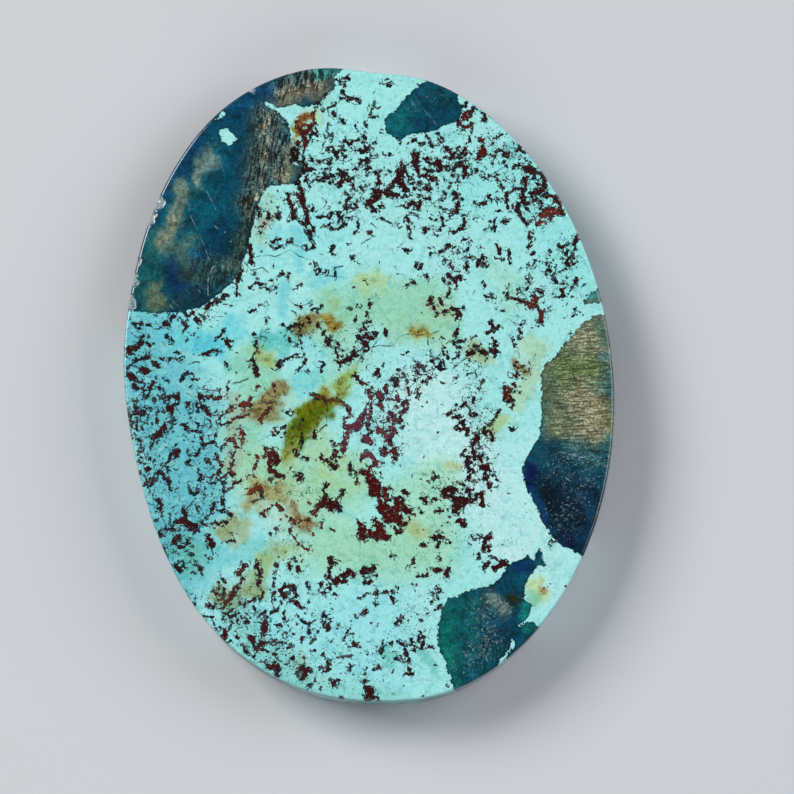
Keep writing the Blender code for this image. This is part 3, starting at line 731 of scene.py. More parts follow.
    "lower right": """
12 383,509 390,512 396,509; 6 396,500 398,505; 8 402,506 407,511; 2.5 410,509 418,508 421,513;
5 432,500 436,500; 4 440,508 440,510; 8 456,507 462,504; 8 462,501 468,499; 4 471,502 476,500 477,496;
9 371,533 378,534; 5 376,521 378,525; 9 379,525 383,532; 8 380,536 387,537; 11 388,518 397,518;
3.5 395,527 398,533 401,531; 6 400,524 405,522; 2.8 409,517 410,518; 2.2 414,514 415,515;
4.5 433,536 442,537; 3.5 436,511 443,511; 2 437,531 440,535; 6 455,512 459,510; 9 458,521 462,523;
2.5 472,536 480,537; 3 489,532 489,538; 3 553,539 555,541; 4 375,540 377,541; 3 391,553 393,556;
2.5 408,569 409,567; 3.5 413,560 414,566; 2.5 421,545 426,545; 2.5 427,569 428,575 418,576;
4 439,543 438,546; 2.5 439,556 440,557; 2.5 449,541 450,541; 3.5 479,553 479,557; 6 483,546 484,550;
6 484,541 490,537; 4 488,546 490,551; 3.5 488,562 483,568; 3.5 492,556 497,559; 7 504,562 499,566 495,569;
3 550,542 557,541; 4 366,582 370,581; 3 376,575 377,577; 2.5 377,590 378,598 376,603; 3.2 385,592 390,592;
3.5 393,598 394,603; 3 396,587 397,587; 3 431,592 432,592; 2.5 432,597 437,598; 6 434,571 440,571;
3 438,587 440,592; 6 447,570 447,574; 3 397,617 398,622 395,625; 3.5 402,620 402,621; 2.5 425,609 426,613;
2.5 432,602 432,604; 2.5 434,609 440,608 441,604; 2.5 384,640 382,647 380,650 384,655;
2.6 386,641 391,644 395,643 400,640; 2 395,659 399,659; 3.5 401,657 403,660; 3.5 402,644 403,644;
4 406,648 406,655; 2.2 411,639 413,647 415,652; 3 418,638 417,643 414,647;
4 420,633 424,636 424,643 422,648; 3 429,646 430,646; 2.5 365,681 366,684; 8 368,688 370,693 369,698;
4 374,669 380,667; 4 379,667 380,667; 3.5 407,674 413,673; 3.2 409,660 409,670; 4 377,697 378,698;
""",
}


def screen_colour(text):
    """A screen colour from its six hex digits."""
    return np.array([int(text[i:i + 2], 16) / 255 for i in (0, 2, 4)])


def linear(screen):
    """The light that screen colours stand for."""
    return np.where(screen <= 0.04045, screen / 12.92, ((screen + 0.055) / 1.055) ** 2.4)


def places(text):
    """The places named in a text, as an array of x, y pairs."""
    return np.array([[float(number) for number in pair.split(",")] for pair in text.split()])


def strokes(text):
    """The strokes named in a text, as (half-width, places), all in pixels."""
    found = []
    for stroke in text.split(";"):
        if stroke.strip():
            width, path = stroke.strip().split(" ", 1)
            found.append((float(width) / 2, places(path)))
    return found


def wavy(stroke):
    """The same stroke with its path bent a little, as no natural mark is straight."""
    half_width, path = stroke
    if len(path) == 1:
        return stroke
    steps = along(path, 3.0)
    return half_width, steps + ripple(steps, *MARK_FIELD)[:, :2] * MARK_WAVER


# The camera and the photograph's pixels


def camera_axes():
    """The camera's right, up and backward directions."""
    turn, rise = math.radians(CAMERA_AZIMUTH), math.radians(CAMERA_ELEVATION)
    back = np.array([math.sin(turn) * math.cos(rise), -math.cos(turn) * math.cos(rise), math.sin(rise)])
    right = np.array([math.cos(turn), math.sin(turn), 0.0])
    return right, np.cross(back, right), back


PIXELS_PER_SLOPE = FRAME_PIXELS * CAMERA_DISTANCE / SEEN_WIDTH


def to_stone(pixels):
    """Where the rays through these pixels meet the level of the marks, as x, y in millimetres."""
    right, up, back = camera_axes()
    eye = np.array(LOOKS_AT) + back * CAMERA_DISTANCE
    across = (pixels[:, :1] - FRAME_PIXELS / 2) / PIXELS_PER_SLOPE
    down = (pixels[:, 1:] - FRAME_PIXELS / 2) / PIXELS_PER_SLOPE
    ray = across * right - down * up - back
    return (eye + ray * ((MARKS_HEIGHT - eye[2]) / ray[:, 2])[:, None])[:, :2]


def to_pixels(points):
    """The pixels in which the camera sees these x, y places, at the level of the marks."""
    right, up, back = camera_axes()
    eye = np.array(LOOKS_AT) + back * CAMERA_DISTANCE
    ray = np.column_stack([points, np.full(len(points), MARKS_HEIGHT)]) - eye
    depth = -(ray @ back)
    across = FRAME_PIXELS / 2 + PIXELS_PER_SLOPE * (ray @ right) / depth
    return np.column_stack([across, FRAME_PIXELS / 2 - PIXELS_PER_SLOPE * (ray @ up) / depth])


# Distances, washes and noise


def along(path, step):
    """Places along a path at about this step, its ends among them."""
    if len(path) == 1:
        return path
    found = []
    for start, end in zip(path, path[1:]):
        parts = max(1, round(np.linalg.norm(end - start) / step))
        found += [start + (end - start) * part / parts for part in range(parts)]
    return np.array(found + [path[-1]])


def path_distance(points, path):
    """How far each point is from a path."""
    if len(path) == 1:
        return np.linalg.norm(points - path[0], axis=1)
    nearest = np.full(len(points), np.inf)
    for start, end in zip(path, path[1:]):
        run = end - start
        share = np.clip((points - start) @ run / max(run @ run, 1e-9), 0, 1)
        nearest = np.minimum(nearest, np.linalg.norm(points - start - share[:, None] * run, axis=1))
    return nearest


def depth_in_polygon(points, corners):
    """How deep each point is inside a polygon, negative outside it."""
    closed = np.vstack([corners, corners[:1]])
    inside = np.zeros(len(points), bool)
    for (x0, y0), (x1, y1) in zip(closed, closed[1:]):
        if y0 != y1:
            crosses = (points[:, 1] < y0) != (points[:, 1] < y1)
            inside ^= crosses & (points[:, 0] < x0 + (points[:, 1] - y0) * (x1 - x0) / (y1 - y0))
    distance = path_distance(points, closed)
    return np.where(inside, distance, -distance)


def depth_in_strokes(points, marks, floor):
    """How deep each point is inside the nearest of these strokes, in pixels and never under floor."""
    depth = np.full(len(points), floor)
    for half_width, path in marks:
        reach = half_width - floor
        low, high = path.min(0) - reach, path.max(0) + reach
        near = np.flatnonzero(((points > low) & (points < high)).all(1))
        if len(near):
            depth[near] = np.maximum(depth[near], half_width - path_distance(points[near], path))
    return depth


def ripple(points, size, level):
    """Smooth noise from -1 to 1 with three values for each point, and features of this size."""
    places_in_noise = np.column_stack([points / size, np.full(len(points), float(level))])
    return np.array([noise.noise_vector(Vector(place)) for place in places_in_noise])


def washed(points, ground, washes, firmness):
    """The colour at each point after these washes are laid over the ground, one after another."""
    painted = np.tile(screen_colour(ground), (len(points), 1))
    for _, tint, strength, reach, path in washes:
        share = strength * np.exp(-((path_distance(points, places(path)) / reach) ** firmness))[:, None]
        painted += (screen_colour(tint) - painted) * share
    return linear(painted)


# The stone's shape


def outline_radius(angle):
    """How far the rim is from the ellipse's centre in these directions, in radians from +X."""
    half_width, half_length = WIDTH / 2, LENGTH / 2
    radius = half_width * half_length / np.hypot(half_length * np.cos(angle), half_width * np.sin(angle))
    for _, at, reach, depth in OUTLINE_DEPARTURES:
        away = (np.degrees(angle) - at + 180) % 360 - 180
        radius = radius + depth * np.exp(-((away / reach) ** 2))
    return radius


def share_of_radius(points, inset):
    """How far out each point is, as a share of the way from the ellipse's centre to the inset outline."""
    offset = points - ELLIPSE_CENTRE
    return np.hypot(*offset.T) / (outline_radius(np.arctan2(offset[:, 1], offset[:, 0])) - inset)


def ring(inset, height, steps):
    """Vertices round the stone at this height, on its outline moved in by inset."""
    angle = np.arange(steps) * 2 * math.pi / steps
    radius = outline_radius(angle) - inset
    return np.column_stack([
        ELLIPSE_CENTRE[0] + radius * np.cos(angle), ELLIPSE_CENTRE[1] + radius * np.sin(angle),
        np.full(steps, height),
    ])


def quarter_round(width, height, rows):
    """Steps of a quarter ellipse, as (distance in from its outer side, distance from its flat side)."""
    turns = [math.pi / 2 * row / rows for row in range(rows + 1)]
    return [(width * (1 - math.sin(turn)), height * (1 - math.cos(turn))) for turn in turns]


def thinned(points, cell):
    """The first point in each square cell of this size."""
    _, first = np.unique(np.floor(points / cell).astype(int), axis=0, return_index=True)
    return points[np.sort(first)]


def staggered_grid(spacing):
    """Places in a triangular pattern over the whole stone."""
    rows = np.arange(-LENGTH / 2 - 1, LENGTH / 2 + 1, spacing * math.sqrt(0.75))
    columns = np.arange(-WIDTH / 2 - 1, WIDTH / 2 + 1, spacing)
    return np.array([(x + spacing / 2 * (number % 2), y) for number, y in enumerate(rows) for x in columns])


def contour(path, half_width, spacing):
    """Places round a stroke, at half_width from its path."""
    if half_width <= 0:
        return np.empty((0, 2))
    parts = max(6, round(2 * math.pi * half_width / spacing))
    turn = np.arange(parts) * 2 * math.pi / parts
    circle = half_width * np.column_stack([np.cos(turn), np.sin(turn)])
    found = (along(path, spacing)[:, None] + circle).reshape(-1, 2)
    return found[path_distance(found, path) > half_width - 0.05]


def detail_places(marks, scratches, patches):
    """Places in pixels where the face's mesh is fine: down the middle of the marks and along their edges."""
    found = [along(path, DETAIL_STEP) for _, path in scratches]
    for half_width, path in marks:
        found += [along(path, DETAIL_STEP), contour(path, half_width, DETAIL_STEP)]
        if half_width > WIDE_MARK / 2:
            found.append(contour(path, half_width / 2, DETAIL_STEP))
    found += [contour(path, half_width + OUTER_ROW, OUTER_STEP) for half_width, path in marks]
    found += [contour(path, SCRATCH_ROW, DETAIL_STEP) for _, path in scratches]
    right, down = np.array((DETAIL_STEP, 0)), np.array((0, DETAIL_STEP))
    for corners in patches:
        edge = along(np.vstack([corners, corners[:1]]), DETAIL_STEP)
        found += [edge, edge + right, edge - right, edge + down, edge - down]
    return np.vstack(found)


def face_points(marks, scratches, patches):
    """The places of the face's vertices inside its rim, fine at the marks and coarser between them."""
    fine = thinned(to_stone(detail_places(marks, scratches, patches)), DETAIL_SPACING)
    grid = staggered_grid(FACE_SPACING)
    cell_size = FACE_SPACING * GRID_CLEARANCE
    taken = {tuple(cell) for cell in np.floor(fine / cell_size).astype(int)}
    free = [tuple(cell) not in taken for cell in np.floor(grid / cell_size).astype(int)]
    found = np.vstack([fine, grid[free]])
    return found[share_of_radius(found, FACE_BEVEL) < 1 - RIM_CLEARANCE / (WIDTH / 2)]


def disc_triangles(points, rim_count):
    """Triangles over a disc whose first rim_count points are its edge, in order."""
    rim = [(i, (i + 1) % rim_count) for i in range(rim_count)]
    _, _, faces, origin, _, _ = delaunay_2d_cdt([tuple(point) for point in points], rim, [], 1, 1e-6, True)
    first = [ids[0] for ids in origin]
    return [tuple(first[i] for i in face) for face in faces]


def bite(points):
    """Points moved out of the shell-shaped chips, onto the walls of the hollows that they left."""
    for at, length, depth in EDGE_CHIPS:
        angle, radius = math.radians(at), length / 2
        reach = float(outline_radius(np.array(angle))) + radius - depth
        centre = np.array([
            ELLIPSE_CENTRE[0] + reach * math.cos(angle), ELLIPSE_CENTRE[1] + reach * math.sin(angle),
            THICKNESS - CROWN + depth / 2,
        ])
        away = points - centre
        distance = np.linalg.norm(away, axis=1)
        uneven = radius * (1 + CHIP_ROUGHNESS * ripple(points[:, :2], *CHIP_FIELD)[:, 0])
        near = distance < uneven
        points[near] = centre + away[near] / distance[near, None] * uneven[near, None]
    return points


class Surface:
    """The stone's vertices and faces, gathered part by part."""

    def __init__(self):
        self.points, self.faces, self.island, self.count = [], [], [], 0

    def add(self, points):
        """Adds vertices and returns their numbers."""
        numbers = np.arange(self.count, self.count + len(points))
        self.points.append(points)
        self.count += len(points)
        return numbers

    def cover(self, faces, island):
        """Adds faces, all in the same part of the map."""
        self.faces += faces
        self.island += [island] * len(faces)

    def bridge(self, upper, lower):
        """A band of quads between two rings of as many vertices, or of triangles down to half as many."""
        steps, ratio = len(upper), len(upper) // len(lower)
        for i in range(steps):
            after = (i + 1) % steps
            if ratio == 1:
                self.cover([(upper[i], lower[i], lower[after], upper[after])], "wall")
            elif i % ratio == 0:
                low, next_low = lower[i // ratio], lower[(i // ratio + 1) % len(lower)]
                second = upper[(i + 2) % steps]
                self.cover([(upper[i], low, upper[after]), (upper[after], low, next_low),
                            (upper[after], next_low, second)], "wall")


def stone_surface(marks, scratches, patches):
    """The whole stone: face, eased edge, wall, lower edge and back, as one closed surface."""
    surface = Surface()
    face_edge = THICKNESS - CROWN
    rim = ring(FACE_BEVEL, face_edge, RIM_STEPS)
    inner = face_points(marks, scratches, patches)
    share = share_of_radius(inner, FACE_BEVEL)
    inner = np.column_stack([inner, THICKNESS - CROWN * share**2])
    face = np.vstack([rim, inner])
    face[:, 2] -= relief(face[:, :2])
    numbers = surface.add(face)
    surface.cover([tuple(numbers[i] for i in tri) for tri in disc_triangles(face[:, :2], RIM_STEPS)], "face")
    last = numbers[:RIM_STEPS]
    outline_height = face_edge - FACE_BEVEL
    wall_height = outline_height - BACK_BEVEL_HEIGHT
    rows = [(inset, face_edge - drop, RIM_STEPS)
            for inset, drop in quarter_round(FACE_BEVEL, FACE_BEVEL, BEVEL_ROWS)[1:]]
    drops = [FINE_WALL_DROP * row for row in range(1, FINE_WALL_ROWS + 1)]
    rows += [(WALL_TAPER * drop / wall_height, outline_height - drop, RIM_STEPS) for drop in drops]
    start = drops[-1]
    for row in range(1, WALL_ROWS + 1):
        drop = start + (wall_height - start) * row / WALL_ROWS
        rows.append((WALL_TAPER * drop / wall_height, outline_height - drop, RIM_STEPS // 2))
    lower = quarter_round(BACK_BEVEL_WIDTH, BACK_BEVEL_HEIGHT, BACK_BEVEL_ROWS)[::-1][1:]
    rows += [(WALL_TAPER + inset, rise, RIM_STEPS // 2) for inset, rise in lower]
    for inset, height, steps in rows:
        numbers = surface.add(ring(inset, height, steps))
        surface.bridge(last, numbers)
        last = numbers
    edge_inset = WALL_TAPER + BACK_BEVEL_WIDTH
    grid = staggered_grid(BACK_SPACING)
    grid = grid[share_of_radius(grid, edge_inset) < 1 - 0.5 * BACK_SPACING / (WIDTH / 2)]
    back = surface.add(np.column_stack([grid, np.zeros(len(grid))]))
    numbers = np.concatenate([last, back])
    outline = ring(edge_inset, 0, RIM_STEPS // 2)[:, :2]
    triangles = disc_triangles(np.vstack([outline, grid]), RIM_STEPS // 2)
    surface.cover([tuple(numbers[i] for i in reversed(tri)) for tri in triangles], "back")
    return surface


def relief(points):
    """How far the face dips below its crown: over the softer matrix, in the polish's waves and in pits."""
    pixels = to_pixels(points)
    proud = 1 / (1 + np.exp(-patch_depth(pixels) / PATCH_EDGE_REACH))
    waves = 0.5 + 0.5 * ripple(points, *POLISH_FIELD)[:, 0]
    pits = np.clip(ripple(points, *PIT_FIELD)[:, 0] - 0.35, 0, 1)
    return PATCH_RELIEF * (1 - proud) + POLISH_WAVE * waves + PIT_DEPTH * pits * (1 - proud)


def patch_depth(pixels):
    """How deep each pixel is inside a blue patch, negative outside them."""
    depth = np.max([depth_in_polygon(pixels, places(text)) for text in PATCHES.values()], axis=0)
    holes = np.max([depth_in_polygon(pixels, places(text)) for text in INCLUSIONS.values()], axis=0)
    return np.minimum(depth, -holes)


def marks_on(mesh, points, marks, cracks, scratches):
    """Stores what the material reads: tints, depths inside the marks, how thick the small flecks lie, and the
    painted shade under the face's edge.
    """
    below = np.clip(THICKNESS - CROWN - points[:, 2], 0, None)
    drift = ripple(points[:, :2], *DRIFT_FIELD)[:, :2] * below[:, None] * WALL_DRIFT
    pixels = to_pixels(points[:, :2] + drift)
    coarse = ripple(pixels, *COARSE_WASH_FIELD)[:, :2] * COARSE_WASH_REACH
    fine = ripple(pixels, *FINE_WASH_FIELD)[:, :2] * FINE_WASH_REACH
    loose = pixels + (coarse + fine)
    hidden = np.clip((below - WALL_START) * 3, 0, 6)
    wall = np.clip((below - WALL_START) * 2, 0, 1)
    slanted = ripple(points[:, :2] + points[:, 2:] * (0.9, -0.7), *WALL_FLECK_FIELD)[:, 0]
    # Painted shade in a band just under the face's edge
    rim = np.clip((below - RIM_SHADE_START) / RIM_SHADE_RUN, 0, 1) * np.exp(-((below / RIM_SHADE_REACH) ** 2))
    store(mesh, "matrix_tint", washed(loose, MATRIX_COLOR, MATRIX_WASHES, FIRM))
    store(mesh, "patch_tint", washed(loose, PATCH_COLOR, PATCH_WASHES, FAIRLY_SOFT))
    store(mesh, "fleck_tint", washed(pixels, FLECK_COLOR, FLECK_WASHES, FIRM))
    store(mesh, "patch_depth", np.clip(patch_depth(pixels), -8, 8))
    store(mesh, "fleck_depth", depth_in_strokes(pixels, marks, -FLECK_MARGIN) - hidden)
    store(mesh, "crack_depth", depth_in_strokes(pixels, cracks, -THIN_MARGIN) - hidden)
    store(mesh, "scratch_depth", depth_in_strokes(pixels, scratches, -THIN_MARGIN) - hidden)
    store(mesh, "speck_density", np.maximum(crowding(loose, SPECK_WASHES), wall * (0.35 + 0.45 * slanted)))
    store(mesh, "sparkle", crowding(pixels, SPARKLE_WASHES))
    # Painted shade: the band under the face's edge, and more of it on the wall under the foot
    store(mesh, "painted_edge_shade", rim + FOOT_PAINTED_SHADE * wall * crowding(pixels, FOOT_WALL_PAINTED_SHADE, FIRM))
    store(mesh, "grain_flow", grain_flow(points, pixels))
    store(mesh, "grain", crowding(loose, GRAIN_WASHES, FIRM))


def crowding(pixels, washes, firmness=SOFT):
    """How thickly something lies at each pixel, from 0 up, by the strongest of these washes."""
    found = np.zeros(len(pixels))
    for _, strength, reach, path in washes:
        share = strength * np.exp(-((path_distance(pixels, places(path)) / reach) ** firmness))
        found = np.maximum(found, share)
    return found


def grain_flow(points, pixels):
    """Coordinates that run across and along the grain of the patches, and down the stone."""
    on_right = pixels[:, 0] > GRAIN_DIVIDE
    degrees, across_scale, along_scale = [
        np.where(on_right, right, left) for left, right in zip(LEFT_GRAIN, RIGHT_GRAIN)
    ]
    turn = np.radians(degrees)
    across = points[:, 0] * np.cos(turn) + points[:, 1] * np.sin(turn)
    lengthwise = points[:, 1] * np.cos(turn) - points[:, 0] * np.sin(turn)
    return np.column_stack([across * across_scale, lengthwise * along_scale, points[:, 2]])


def store(mesh, name, values):
    """Adds a value for each vertex: a number, a colour or a vector."""
    values = np.asarray(values, np.float32)
    kind, field = ("FLOAT", "value") if values.ndim == 1 else ("FLOAT_VECTOR", "vector")
    mesh.attributes.new(name, kind, "POINT").data.foreach_set(field, values.ravel())


def unwrap(mesh, points, islands):
    """One map for the whole stone: the face large, the back at half its size, and the wall as a strip."""
    layer = mesh.uv_layers.new(name="OFBake")
    corner_vertex = np.zeros(len(mesh.loops), np.int32)
    mesh.loops.foreach_get("vertex_index", corner_vertex)
    sizes = np.zeros(len(mesh.polygons), np.int32)
    mesh.polygons.foreach_get("loop_total", sizes)
    island = np.repeat(np.array(islands), sizes)
    polygon = np.repeat(np.arange(len(sizes)), sizes)
    at = points[corner_vertex]
    per_mm = MAP_LENGTH / LENGTH
    face = MAP_FACE + at[:, :2] * per_mm
    back = MAP_BACK + at[:, :2] * (-1, 1) * per_mm / 2
    turn = np.arctan2(at[:, 1] - ELLIPSE_CENTRE[1], at[:, 0] - ELLIPSE_CENTRE[0]) / (2 * math.pi) % 1
    first = np.searchsorted(polygon, np.arange(len(sizes)))
    start = turn[first][polygon]
    turn = turn + (start > 0.75) * (turn < 0.25) - (start < 0.25) * (turn > 0.75)
    (left, foot), (width, height) = MAP_WALL, MAP_WALL_SIZE
    wall = np.column_stack([left + width * np.clip(turn, 0, 1), foot + height * at[:, 2] / THICKNESS])
    uv = np.where((island == "face")[:, None], face, np.where((island == "back")[:, None], back, wall))
    layer.uv.foreach_set("vector", uv.astype(np.float32).ravel())


def build_stone():
    """The stone as one closed mesh, with the values that its material reads."""
    read = [wavy(stroke) for text in FLECKS.values() for stroke in strokes(text)]
    marks = [stroke for stroke in read if stroke[0] > THIN_MARK / 2]
    cracks = [stroke for stroke in read if stroke[0] <= THIN_MARK / 2]
    cracks += [wavy(stroke) for stroke in strokes(CRACKS)]
    scratches = strokes(SCRATCHES)
    patches = [places(text) for text in (*PATCHES.values(), *INCLUSIONS.values())]
    surface = stone_surface(marks, cracks + scratches, patches)
    whole = np.vstack(surface.points)
    points = bite(whole.copy())
    mesh = bpy.data.meshes.new("polished_stone")
    faces = [tuple(int(i) for i in face) for face in surface.faces]
    mesh.from_pydata([tuple(point) for point in points * MM], [], faces)
    marks_on(mesh, points, marks, cracks, scratches)
    store(mesh, "chip", np.clip(np.linalg.norm(points - whole, axis=1) / 0.06, 0, 1))
    unwrap(mesh, points, surface.island)
    mesh.shade_smooth()
    stone = bpy.data.objects.new("polished_stone", mesh)
    bpy.context.scene.collection.objects.link(stone)
    return stone


# The material


class Nodes:
    """Short calls that add shader nodes to a material and join them."""

    def __init__(self, material):
        self.tree = material.node_tree

    def join(self, socket, value):
        if isinstance(value, bpy.types.NodeSocket):
            self.tree.links.new(value, socket)
        else:
            socket.default_value = value

    def add(self, kind, inputs=None, **settings):
        node = self.tree.nodes.new(kind)
        for name, value in settings.items():
            setattr(node, name, value)
        for name, value in (inputs or {}).items():
            self.join(node.inputs[name], value)
        return node

    def attribute(self, name, output="Fac"):
        """What the mesh holds under this name: a number, or its colour or vector."""
        return self.add("ShaderNodeAttribute", attribute_name=name).outputs[output]

    def maths(self, operation, first, second=0.0):
        node = self.add("ShaderNodeMath", {0: first, 1: second}, operation=operation)
        return node.outputs[0]

    def plus(self, first, second):
        return self.maths("ADD", first, second)

    def minus(self, first, second):
        return self.maths("SUBTRACT", first, second)

    def times(self, first, second):
        return self.maths("MULTIPLY", first, second)

    def most(self, first, second):
        return self.maths("MAXIMUM", first, second)

    def noise(self, where, scale, detail=3.0, roughness=0.55, distortion=0.0):
        inputs = {"Vector": where, "Scale": scale, "Detail": detail}
        inputs.update({"Roughness": roughness, "Distortion": distortion})
        return self.add("ShaderNodeTexNoise", inputs).outputs["Fac"]

    def cells(self, where, scale, feature="F1"):
        node = self.add("ShaderNodeTexVoronoi", {"Vector": where, "Scale": scale}, feature=feature)
        return node.outputs["Distance"]

    def ramp(self, value, low, high, to_low=0.0, to_high=1.0):
        """The value eased from to_low to to_high as it goes from low to high."""
        inputs = {"Value": value, "From Min": low, "From Max": high, "To Min": to_low, "To Max": to_high}
        return self.add("ShaderNodeMapRange", inputs, interpolation_type="SMOOTHSTEP").outputs["Result"]

    def mix(self, share, first, second, blend="MIX"):
        node = self.add("ShaderNodeMix", {"Factor": share}, data_type="RGBA", blend_type=blend)
        self.join(node.inputs[6], first)
        self.join(node.inputs[7], second)
        return node.outputs[2]

    def tinted(self, colour, tint):
        return self.mix(1.0, colour, tint, "MULTIPLY")

    def stained(self, share, colour, tint):
        """The colour, this share of the way to being tinted."""
        return self.mix(share, colour, self.tinted(colour, tint))


def rgba(text):
    return (*linear(screen_colour(text)), 1.0)


def stone_material():
    """Turquoise under specks, cracks and flecks, then the blue patches, and wear over all of it, with painted
    shade under the face's edge and a painted glint on the chips.
    """
    material = bpy.data.materials.new("polished_shattuckite")
    material.use_nodes = True
    nodes = Nodes(material)
    shader = material.node_tree.nodes["Principled BSDF"]
    place = nodes.add("ShaderNodeTexCoord").outputs["Object"]
    place = nodes.add("ShaderNodeVectorMath", {0: place, "Scale": 1 / MM}, operation="SCALE").outputs[0]
    ragged, rough_edge = rough_edges(nodes, place)

    fleck_share, fleck = fleck_look(nodes, place, ragged, rough_edge)
    colour_now = marked_matrix(nodes, place, ragged)
    colour_now = nodes.mix(fleck_share, colour_now, fleck)
    depth = nodes.plus(nodes.attribute("patch_depth"), nodes.times(rough_edge, 0.7))
    colour_now = nodes.mix(nodes.ramp(depth, -0.2, 0.5), colour_now, patch_look(nodes, place, depth))
    flecks_over_patches = nodes.times(fleck_share, nodes.ramp(depth, 6.0, 2.0))
    colour_now = nodes.mix(flecks_over_patches, colour_now, fleck)

    scratch = nodes.plus(nodes.attribute("scratch_depth"), nodes.times(ragged, 0.4))
    scratch = nodes.ramp(scratch, 0.0, 0.5)
    scratch = nodes.times(scratch, nodes.ramp(nodes.noise(place, 2.2, 3.0), 0.42, 0.6, 0.0, 0.55))
    colour_now = nodes.mix(scratch, colour_now, rgba(SCRATCH_COLOR))
    # Chips: the broken stone's paler colour, with a painted glint
    chip = nodes.times(nodes.attribute("chip"), nodes.ramp(nodes.noise(place, 3.5, 3.0), 0.34, 0.5))
    colour_now = nodes.mix(nodes.times(chip, 0.55), colour_now, rgba(CHIP_BREAK_AND_GLINT_COLOR))
    # Painted shade under the face's edge and on the wall under the foot, which also dulls the gloss there
    shade = nodes.times(nodes.attribute("painted_edge_shade"), 0.55)
    colour_now = nodes.stained(shade, colour_now, rgba(PAINTED_EDGE_SHADE_TINT))
    nodes.join(shader.inputs["Base Color"], colour_now)

    gloss = nodes.ramp(nodes.noise(place, 1.4, 4.0), 0.3, 0.7, 0.12, 0.20)
    for duller, amount in ((fleck_share, 0.05), (scratch, 0.15), (shade, 0.4)):
        gloss = nodes.plus(gloss, nodes.times(duller, amount))
    nodes.join(shader.inputs["Roughness"], gloss)
    height = nodes.noise(place, 2.0, 5.0)
    for lower, amount in ((fleck_share, 0.35), (scratch, 0.6)):
        height = nodes.minus(height, nodes.times(lower, amount))
    bump = nodes.add("ShaderNodeBump", {"Height": height, "Strength": 0.25, "Distance": 0.02 * MM})
    nodes.join(shader.inputs["Normal"], bump.outputs["Normal"])
    shader.inputs["Coat Weight"].default_value = 0.12
    shader.inputs["Coat Roughness"].default_value = 0.12
    shader.inputs["IOR"].default_value = 1.55
    return material


def rough_edges(nodes, place):
    """Unevenness in pixels for the edges of marks: fine alone, and together with broad swells and shards."""
    shards = nodes.add("ShaderNodeTexVoronoi", {"Vector": bent(nodes, place, 1.6, 0.35), "Scale": 4.6})
    shards = nodes.add("ShaderNodeSeparateColor", {"Color": shards.outputs["Color"]}).outputs["Red"]
    shards = nodes.times(nodes.minus(shards, 0.5), 3.0)
    swell = nodes.times(nodes.minus(nodes.noise(place, 2.6, 4.0, 0.65), 0.5), 5.0)
    ragged = nodes.times(nodes.minus(nodes.noise(place, 9.0, 2.0, 0.6), 0.5), 2.0)
    return ragged, nodes.plus(nodes.plus(shards, swell), ragged)


def fleck_look(nodes, place, ragged, rough_edge):
    """Where the wider flecks show, and their colour: a near-black edge round a grainy red-brown core."""
    flecks = nodes.attribute("fleck_depth")
    share = nodes.ramp(nodes.plus(flecks, rough_edge), -0.15, 0.45)
    gaps = nodes.ramp(nodes.noise(bent(nodes, place, 4.0, 0.15), 6.5, 3.0, 0.65), 0.60, 0.66, 1.0, 0.25)
    core = nodes.ramp(nodes.plus(flecks, nodes.times(ragged, 0.9)), 0.3, 1.2)
    grainy = nodes.ramp(nodes.noise(place, 9.0, 2.0), 0.35, 0.7, 0.65, 1.45)
    core_tint = nodes.tinted(nodes.attribute("fleck_tint", "Color"), grainy)
    return nodes.times(share, gaps), nodes.mix(core, rgba(FLECK_EDGE_COLOR), core_tint)


def marked_matrix(nodes, place, ragged):
    """The turquoise with its specks, the tendrils beside the wider flecks, and the cracks."""
    specks, speck_tint = speck_look(nodes, place, nodes.attribute("speck_density"))
    colour_now = nodes.mix(specks, matrix_look(nodes, place), speck_tint)
    unevenly = nodes.ramp(nodes.noise(place, 1.9, 2.0), 0.35, 0.65, -2.2, 1.6)
    beside = nodes.ramp(nodes.plus(nodes.attribute("fleck_depth"), unevenly), -1.9, -1.6)
    tendrils = nodes.times(curls(nodes, bent(nodes, place, 1.2, 0.4), 1.7, 0.036), beside)
    colour_now = nodes.mix(nodes.times(tendrils, 0.9), colour_now, speck_tint)
    crack_edge = nodes.plus(nodes.attribute("crack_depth"), nodes.times(ragged, 0.5))
    fading = nodes.ramp(nodes.noise(place, 1.6, 2.0), 0.42, 0.58, 0.35, 0.9)
    crack_share = nodes.times(nodes.ramp(crack_edge, -0.35, 0.35), fading)
    crack_tint = nodes.mix(0.3, rgba(CRACK_COLOR), nodes.attribute("fleck_tint", "Color"))
    return nodes.mix(crack_share, colour_now, crack_tint)


def bent(nodes, place, scale, amount):
    """The place, pushed about by noise so that what is drawn there bends."""
    push = nodes.add("ShaderNodeTexNoise", {"Vector": place, "Scale": scale, "Detail": 3.0}).outputs["Color"]
    push = nodes.add("ShaderNodeVectorMath", {0: push, "Scale": amount}, operation="SCALE").outputs[0]
    return nodes.add("ShaderNodeVectorMath", {0: place, 1: push}, operation="ADD").outputs[0]


